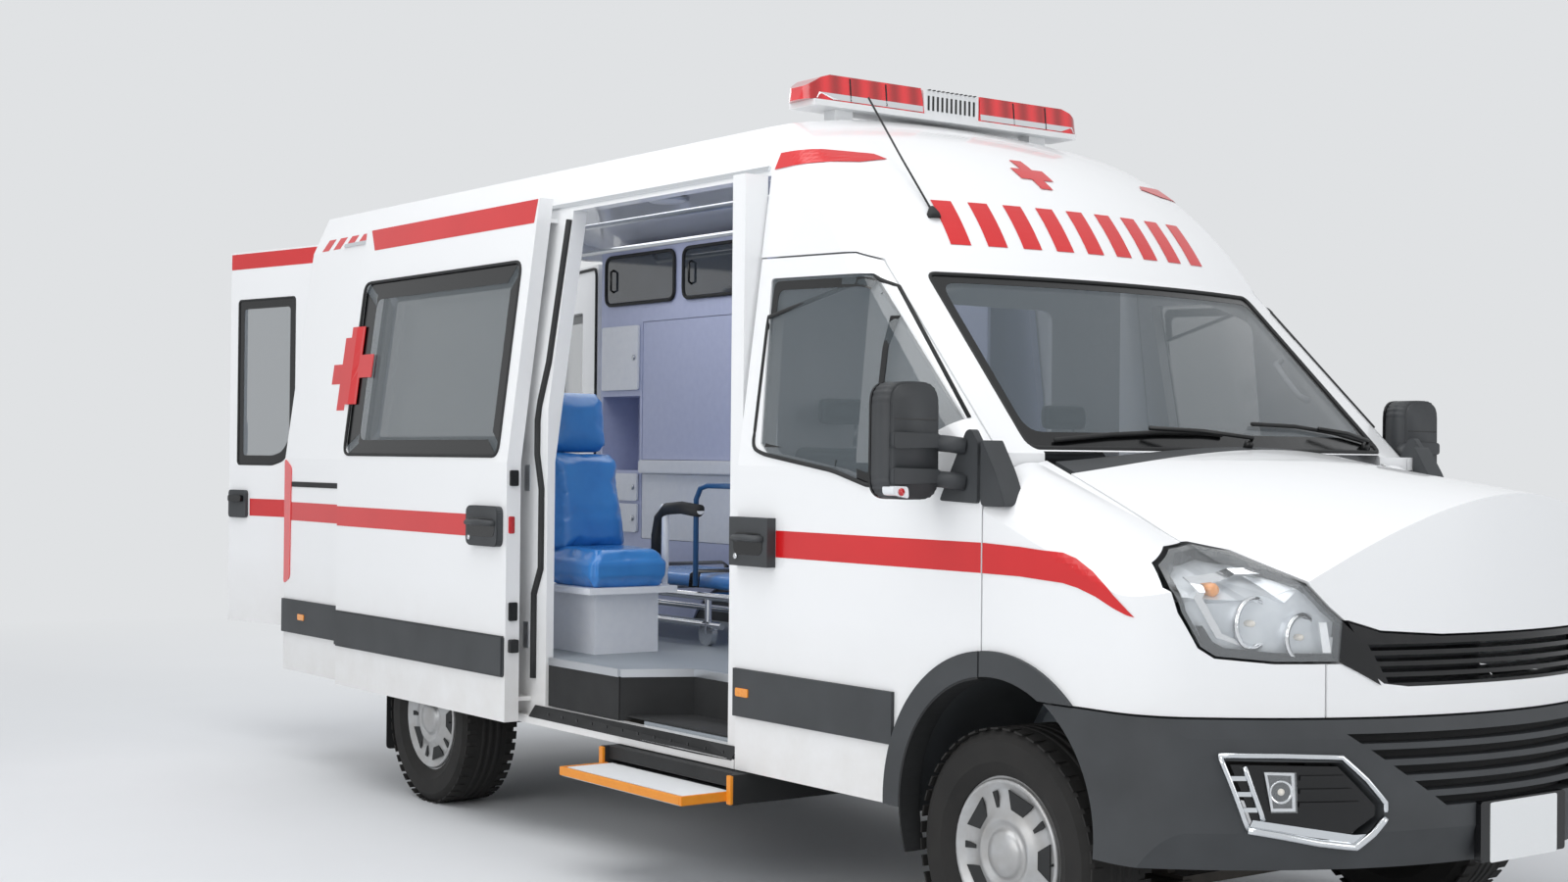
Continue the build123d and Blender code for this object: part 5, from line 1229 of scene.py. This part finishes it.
# Sliding door opening: an extruded black seal pressed on the flange and two striker plates. The door's own
# edge has a reflector, two latches and a rubber buffer.
seal_line = [(-2.545, 2.345), (-2.56, 1.80), (-2.60, 1.58), (-2.60, 1.45), (-2.565, 1.32), (-2.565, 1.02),
             (-2.615, 0.92), (-2.615, 0.60), (-2.57, 0.545)]
seal_path = landed([(front_x + x, z) for x, z in seal_line], faces_out[-1], ["side_panel_right", "roof"],
                   0.004, step=0.08, closed=False)
tube("opening_seal", [p for p in seal_path if p.y < -0.8], 0.014, seal_rubber, sides=10)
for label, z in (("high", 1.36), ("low", 0.76)):
    x = -2.68
    at = spot(faces_out[-1], ["side_panel_right"], front_x + x, z)
    prism(f"striker_plate_{label}", rounded(oblong(x - 0.02, x + 0.02, z - 0.05, z + 0.05), 0.008),
          ((front_x, at.y, 0), (1, 0, 0), (0, 0, 1)), -0.004, 0.004, anodised, bevel=0.001)
edge_face = ((front_x - 2.620, 0, 0), (0, 1, 0), (0, 0, 1))
for label, y0, y1, z0, z1, deep, material in (
    ("reflector", -1.088, -1.062, 1.150, 1.215, 0.003, red_acrylic),
    ("latch_high", -1.085, -1.050, 1.33, 1.39, 0.010, wiper_black),
    ("latch_low", -1.085, -1.050, 0.82, 0.89, 0.010, wiper_black),
    ("buffer", -1.085, -1.050, 0.70, 0.75, 0.022, seal_rubber),
):
    prism(f"sliding_door_{label}", rounded(oblong(y0, y1, z0, z1), 0.006), edge_face, -0.001, deep, material,
          bevel=0.002)

# Cushions and mattress: moulded foam under blue coated cloth, glossy with the clear wrap still on it.
# Each is blown up by a short cloth simulation from a slightly smaller block.
coated_cloth = finish("blue_coated_cloth", {"Roughness": 0.45, "Coat Weight": 0.8, "Coat Roughness": 0.08}, [
    ("Noise", 120, {"Detail": 3.0}, {"Base Color": ("#1F70BE", "#3A92DC")}),
    ("Voronoi", 3, {}, {"Normal": (0.15, 0.3)}),
    ("Noise", 45, {"Detail": 3.0, "Distortion": 1.5}, {"Coat Normal": (4.0, 0.8)})])

# Cab seats: woven dark grey cloth, its threads 2.4 mm apart, with a soft sheen.
woven_grey, tree, shader = blank_material("woven_seat_cloth")
thread = node(tree, "ShaderNodeTexWave",
              {"Vector": coords(tree), "Scale": per_mm(2.4) / 20, "Distortion": 0.4})
tint = node(tree, "ShaderNodeMix", {0: thread.outputs[1], 6: linear("#2B2D31"), 7: linear("#4A4D52")},
            data_type="RGBA")
tree.links.new(tint.outputs[2], shader.inputs["Base Color"])
relief = node(tree, "ShaderNodeBump", {"Height": thread.outputs[1], "Distance": 0.0003, "Strength": 0.5})
tree.links.new(relief.outputs[0], shader.inputs["Normal"])
shader.inputs["Roughness"].default_value = 0.9
shader.inputs["Sheen Weight"].default_value = 0.3


def stuffed(name, side_line, y_span, material, cell, swell):
    """A cushion from its outline seen from the side, blown up by a cloth simulation."""
    count = len(side_line)
    verts = [(front_x + x, y, z) for y in y_span for x, z in side_line]
    faces = [list(range(count)), list(range(count, 2 * count))[::-1]]
    faces += [[k, k + count, (k + 1) % count + count, (k + 1) % count] for k in range(count)]
    mesh = solid(verts, faces)
    bmesh.ops.bevel(mesh, geom=mesh.edges[:], offset=0.028, segments=3, affect="EDGES", clamp_overlap=True)
    made = mesh_object(name, [], [])
    mesh.to_mesh(made.data)
    mesh.free()
    remesh = made.modifiers.new("cells", "REMESH")
    remesh.mode, remesh.voxel_size = "VOXEL", cell
    cloth = made.modifiers.new("cloth", "CLOTH")
    cloth.settings.quality = 4
    cloth.settings.use_pressure = True
    cloth.settings.uniform_pressure_force = 4.0
    cloth.settings.effector_weights.gravity = 0.0
    cloth.collision_settings.use_collision = False
    bpy.context.view_layer.update()
    cloths = [m for m in made.modifiers if m.type == "CLOTH"]
    for m in cloths:
        m.show_viewport = False
    before = after = as_shaped(made)
    for m in cloths:
        m.show_viewport = True
    if cloths:
        for number in range(1, 21):
            bpy.context.scene.frame_set(number)
        after = as_shaped(made)
        for old, new in zip(before.vertices, after.vertices):
            step = new.co - old.co
            if step.length > swell:
                new.co = old.co + step * (swell / step.length)
    made.modifiers.clear()
    made.data = after
    after.polygons.foreach_set("use_smooth", [True] * len(after.polygons))
    after.materials.clear()
    after.materials.append(material)
    if cloths:
        bpy.context.scene.frame_set(1)
    smooth = made.modifiers.new("soften", "SUBSURF")
    smooth.levels = smooth.render_levels = 1
    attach(made, "vehicle")
    return made


seat_pan = stuffed("attendant_seat_pan", [(-2.89, 0.950), (-2.49, 0.950), (-2.48, 1.070), (-2.89, 1.080)],
                   (-0.800, -0.425), coated_cloth, 0.012, 0.014)
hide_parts("attendant_seat_cushions")
stuffed("attendant_seat_back",
        [(-2.90, 1.050), (-2.775, 1.050), (-2.79, 1.22), (-2.86, 1.468), (-2.985, 1.468)], (-0.790, -0.445),
        coated_cloth, 0.012, 0.016)
stuffed("attendant_headrest", [(-2.99, 1.455), (-2.885, 1.455), (-2.915, 1.705), (-3.01, 1.705)],
        (-0.755, -0.475), coated_cloth, 0.012, 0.014)
mattress_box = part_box("stretcher_mattress")
low_x, high_x = mattress_box[0][0] - front_x, mattress_box[1][0] - front_x
low_z, high_z = mattress_box[0][2], mattress_box[1][2]
mattress_line = [(low_x + 0.012, low_z + 0.006), (high_x - 0.012, low_z + 0.006),
                 (high_x - 0.012, high_z - 0.008), (high_x - 0.60, high_z - 0.008),
                 (low_x + 0.012, high_z - 0.008)]
mattress = stuffed("mattress", mattress_line, (mattress_box[0][1] + 0.012, mattress_box[1][1] - 0.012),
                   coated_cloth, 0.014, 0.008)
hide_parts("stretcher_mattress")
pan_line = [(-1.10, 0.93), (-0.63, 0.945), (-0.63, 1.045), (-1.10, 1.02)]
back_line = [(-1.205, 0.99), (-1.10, 1.03), (-1.185, 1.50), (-1.228, 1.50)]
headrest_line = [(-1.222, 1.545), (-1.165, 1.545), (-1.17, 1.665), (-1.222, 1.665)]
for label, y0, y1 in (("driver", 0.18, 0.66), ("mate_inner", -0.36, 0.05), ("mate_outer", -0.81, -0.39)):
    middle = (y0 + y1) / 2
    for part, line, y_span, cell, swell, fill in (
        ("pan", pan_line, (y0, y1), 0.016, 0.012, 0.7),
        ("back", back_line, (y0, y1), 0.016, 0.010, 0.7),
        ("headrest", headrest_line, (middle - 0.12, middle + 0.12), 0.014, 0.008, 0.8),
    ):
        stuffed(f"cab_{label}_{part}", line, y_span, woven_grey, cell, swell)
    tube(f"cab_{label}_posts", from_axle([(-1.20, middle + 0.05, 1.49), (-1.195, middle + 0.05, 1.56)]),
         0.006, anodised)
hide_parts("cab_seats")
for label, y0, y1 in (("driver", 0.20, 0.64), ("mate", -0.78, 0.02)):
    panel(f"cab_{label}_plinth", (-1.09, -0.66), (y0, y1), (0.682, 0.925), grained_plastic, bevel=0.012)

# Armrests: a padded black arm on a curved bracket, and a round steel hoop coated in blue.
blue_coat = finish("blue_powder_coat", {"Base Color": "#24507E", "Roughness": 0.35}, [
    ("Noise", 1.5, {"Detail": 1.0}, {"Normal": (0.05, 0.4)})])
arm_y = -0.372
arm_line = ((-2.700, 1.02), (-2.700, 1.13), (-2.680, 1.20), (-2.63, 1.238), (-2.52, 1.246), (-2.39, 1.236))
hoop_line = ((-2.46, 0.94), (-2.46, 1.28), (-2.43, 1.325), (-2.38, 1.335), (-2.15, 1.335))
tube("armrest", [(front_x + x, arm_y, z) for x, z in arm_line], 0.021, seal_rubber, sides=12, squash=1.25)
tube("armrest_hoop", [(front_x + x, arm_y + 0.03, z) for x, z in hoop_line], 0.011, blue_coat, sides=10)

# Stretcher: polished alloy tubes, with three webbing straps over the mattress.
polished_alloy = finish("polished_alloy_tube", {"Base Color": "#DADCDF", "Metallic": 1.0}, [
    ("Noise", 40, {"Detail": 4.0}, {"Roughness": (0.08, 0.24)})])
dress(polished_alloy, "stretcher_frame")
for number, x in enumerate((-3.9, -3.3, -2.75)):
    strap = [(-0.155, high_z - 0.055), (-0.15, high_z - 0.005), (-0.135, high_z + 0.010),
             (0.375, high_z + 0.010), (0.39, high_z - 0.005), (0.395, high_z - 0.055)]
    tube(f"stretcher_strap_{number}", [(front_x + x, y, z) for y, z in strap], 0.022, gloss_black,
         squash=0.12)

# Side step: an alloy extrusion with a white grip sheet, an amber edge strip and end caps.
dress(anodised, "step_board")
dress(seal_rubber, "step_housing")
step_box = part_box("step_board")
amber_strip = board("#E58B1E", "#F09A2C", "amber_edge_strip", 0.4)
grip_sheet = finish("white_grip_sheet", {"Base Color": "#DFE1E2", "Roughness": 0.7}, [
    ("Voronoi", 2.5, {}, {"Normal": (0.5, 0.7)})])
x0, x1, y0 = step_box[0][0], step_box[1][0], step_box[0][1]
top = step_box[1][2]
prism("step_grip", oblong(x0 + 0.012, x1 - 0.012, y0 + 0.02, y0 + 0.20), plan, top - 0.001, top + 0.0015,
      grip_sheet, body="side_step_body")
prism("step_edge", rounded(oblong(y0 - 0.003, y0 + 0.012, top - 0.026, top + 0.002), 0.003),
      ((0, 0, 0), (0, 1, 0), (0, 0, 1)), x0 + 0.005, x1 - 0.005, amber_strip, body="side_step_body")
for label, end, guide in (("rear", x0, x0 - 0.019), ("front", x1, x1 + 0.019)):
    prism(f"step_cap_{label}", oblong(end - 0.008, end + 0.008, y0 - 0.002, y0 + 0.19), plan, top - 0.027,
          top + 0.003, amber_strip, bevel=0.002, body="side_step_body")
    prism(f"step_guide_end_{label}", rounded(oblong(guide - 0.012, guide + 0.012, 0.330, 0.423), 0.004),
          faces_out[-1], 1.058, 1.068, amber_strip, bevel=0.002)

# Rear doors and opening: each leaf is lined with a pressed board, sealed by a rubber bead and closed by a
# rod latch. The sill has an alloy tread strip, and the bumper step a ribbed rubber pad and two reflectors.
for side, hand in sides:
    inside_face = leaf_face(side, -1)
    leaf, leaf_body = [f"rear_door_{hand}"], f"rear_door_{hand}_body"
    lining, pocket, edge_line = (rounded(mirrored(-side, line), radius) for line, radius in (
        (oblong(0.05, 0.76, 0.72, 1.34), 0.04), (oblong(0.14, 0.62, 0.78, 1.02), 0.05),
        (oblong(0.022, 0.782, 0.700, 2.430), 0.05)))
    film(f"leaf_lining_{hand}", lining, inside_face, leaf, pale_board, lift=0.006, step=0.3, thick=0.006,
         body=leaf_body)
    tube(f"leaf_pocket_rim_{hand}", landed(pocket, inside_face, leaf, 0.007, step=0.1), 0.006, anodised,
         closed=True, body=leaf_body)
    tube(f"leaf_seal_{hand}", landed(edge_line, inside_face, leaf, 0.004, step=0.12), 0.008, seal_rubber,
         closed=True, body=leaf_body)
    inward = inside_face[1].cross(Vector((0, 0, 1)))
    grip = landed([(-side * 0.66, z) for z in (1.12, 1.15, 1.27, 1.30)], inside_face, leaf, 0.002, step=1.0,
                  closed=False)
    tube(f"leaf_pull_{hand}", [p + (0.035 if 0 < i < 3 else 0.0) * inward for i, p in enumerate(grip)], 0.010,
         seal_rubber, sides=10, body=leaf_body)
    film(f"leaf_latch_{hand}", rounded(oblong(-side * 0.745, -side * 0.775, 1.44, 1.60), 0.006), inside_face,
         leaf, anodised, lift=0.012, step=0.3, thick=0.012, body=leaf_body)
prism("rear_step_pad", rounded(oblong(body_rear - 0.068, body_rear - 0.008, -0.76, 0.76), 0.03), plan, 0.5445,
      0.549, seal_rubber)
repeated("rear_step_ribs", *brick((0, 0, 0), (0.006, 0.046, 0.003)),
         facing((body_rear - 0.015, -0.74, 0.549), (0, 1, 0), (-1, 0, 0)), seal_rubber, columns=62,
         pitch=(0.024, 0, 0))
prism("rear_threshold", oblong(body_rear + 0.062, body_rear + 0.110, -0.78, 0.78), plan, 0.681, 0.685,
      anodised, bevel=0.001)
for side, hand in sides:
    end = side * 0.60
    prism(f"rear_reflex_{hand}", rounded(oblong(-end - 0.04, -end + 0.04, 0.474, 0.508), 0.006),
          ((body_rear - 0.075, 0, 0), (0, -1, 0), (0, 0, 1)), -0.001, 0.003, red_acrylic)

# Roof: an air vent over the load space, moulded white with a louvred skirt.
vent_top = search_tree("roof").ray_cast(Vector((front_x - 3.3, 0, 5)), Vector((0, 0, -1)))[0]
turned("roof_vent", [(0, -0.03), (0.17, -0.03), (0.17, 0.012), (0.165, 0.030), (0.12, 0.050), (0.0, 0.056)],
       vent_top, (0, 0, 1), white_moulding, steps=40)
# The louvres are dark bricks round the skirt: painted shade for the gaps between them.
repeated("roof_vent_louvre_shades", *brick((0.168, -0.004, 0), (0.174, 0.004, 0.02)),
         facing(vent_top + Vector((0, 0, 0.004)), (1, 0, 0), (0, 1, 0)), seal_rubber, columns=36,
         turn=2 * pi / 36)

# Cab: a moulded polypropylene dashboard, soft grained, a foam covered steering wheel and a pale grip on
# each pillar.
dash_skin = finish("grained_dashboard_skin", {"Base Color": "#33363A", "Roughness": 0.62}, [
    ("Voronoi", 2.8, {}, {"Normal": (0.25, 0.5)})])
dress(dash_skin, "dashboard")

grip_line = ((-0.46, 0.745, 1.80), (-0.45, 0.705, 1.785), (-0.40, 0.700, 1.73), (-0.35, 0.705, 1.675),
             (-0.34, 0.745, 1.660))
for side, hand in sides:
    tube(f"pillar_grip_{hand}", from_axle([(x, side * y, z) for x, y, z in grip_line]), 0.011, pale_board,
         sides=10)
wheel_centre, wheel_radius = Vector((front_x - 0.572, 0.40, 1.298)), 0.2015
rim_across, rim_up = Vector((0, 1, 0)), Vector((0.53, 0, 0.848))
turns = [2 * pi * k / 40 for k in range(40)]
tube("wheel_rim_cover",
     [wheel_centre + wheel_radius * (cos(a) * rim_across + sin(a) * rim_up) for a in turns], 0.0165,
     seal_rubber, closed=True, sides=10)

# Underbody: black chassis paint over pressed and rolled steel, with road dust low down.
chassis_black = finish("dusty_chassis_paint", {
    "Base Color": lambda tree: grime(tree, "#17181A", "#6E6559", 0.05, 0.75, 0.9), "Roughness": 0.68})
dress(chassis_black, "chassis_frame", "front_suspension", "rear_axle", "fuel_tank", "knuckle_right",
      "knuckle_left")

# Engine and gearbox: cast iron and aluminium, sand cast, dull with oil and dust.
cast_metal = finish("cast_engine_metal", {"Metallic": 0.7, "Roughness": 0.55}, [
    ("Noise", 3, {"Detail": 4.0}, {"Base Color": ("#5D5F61", "#85878A"), "Normal": (0.5, 0.6)})])
dress(cast_metal, "engine_block")

# Exhaust: aluminised steel pipe, browned by heat and spotted with rust.
hot_steel = finish("aluminised_exhaust_steel", {"Metallic": 0.6, "Roughness": 0.5}, [
    ("Noise", 50, {"Detail": 7.0}, {"Base Color": ("#8D8A85", "#6B4B36")})])
dress(hot_steel, "exhaust")
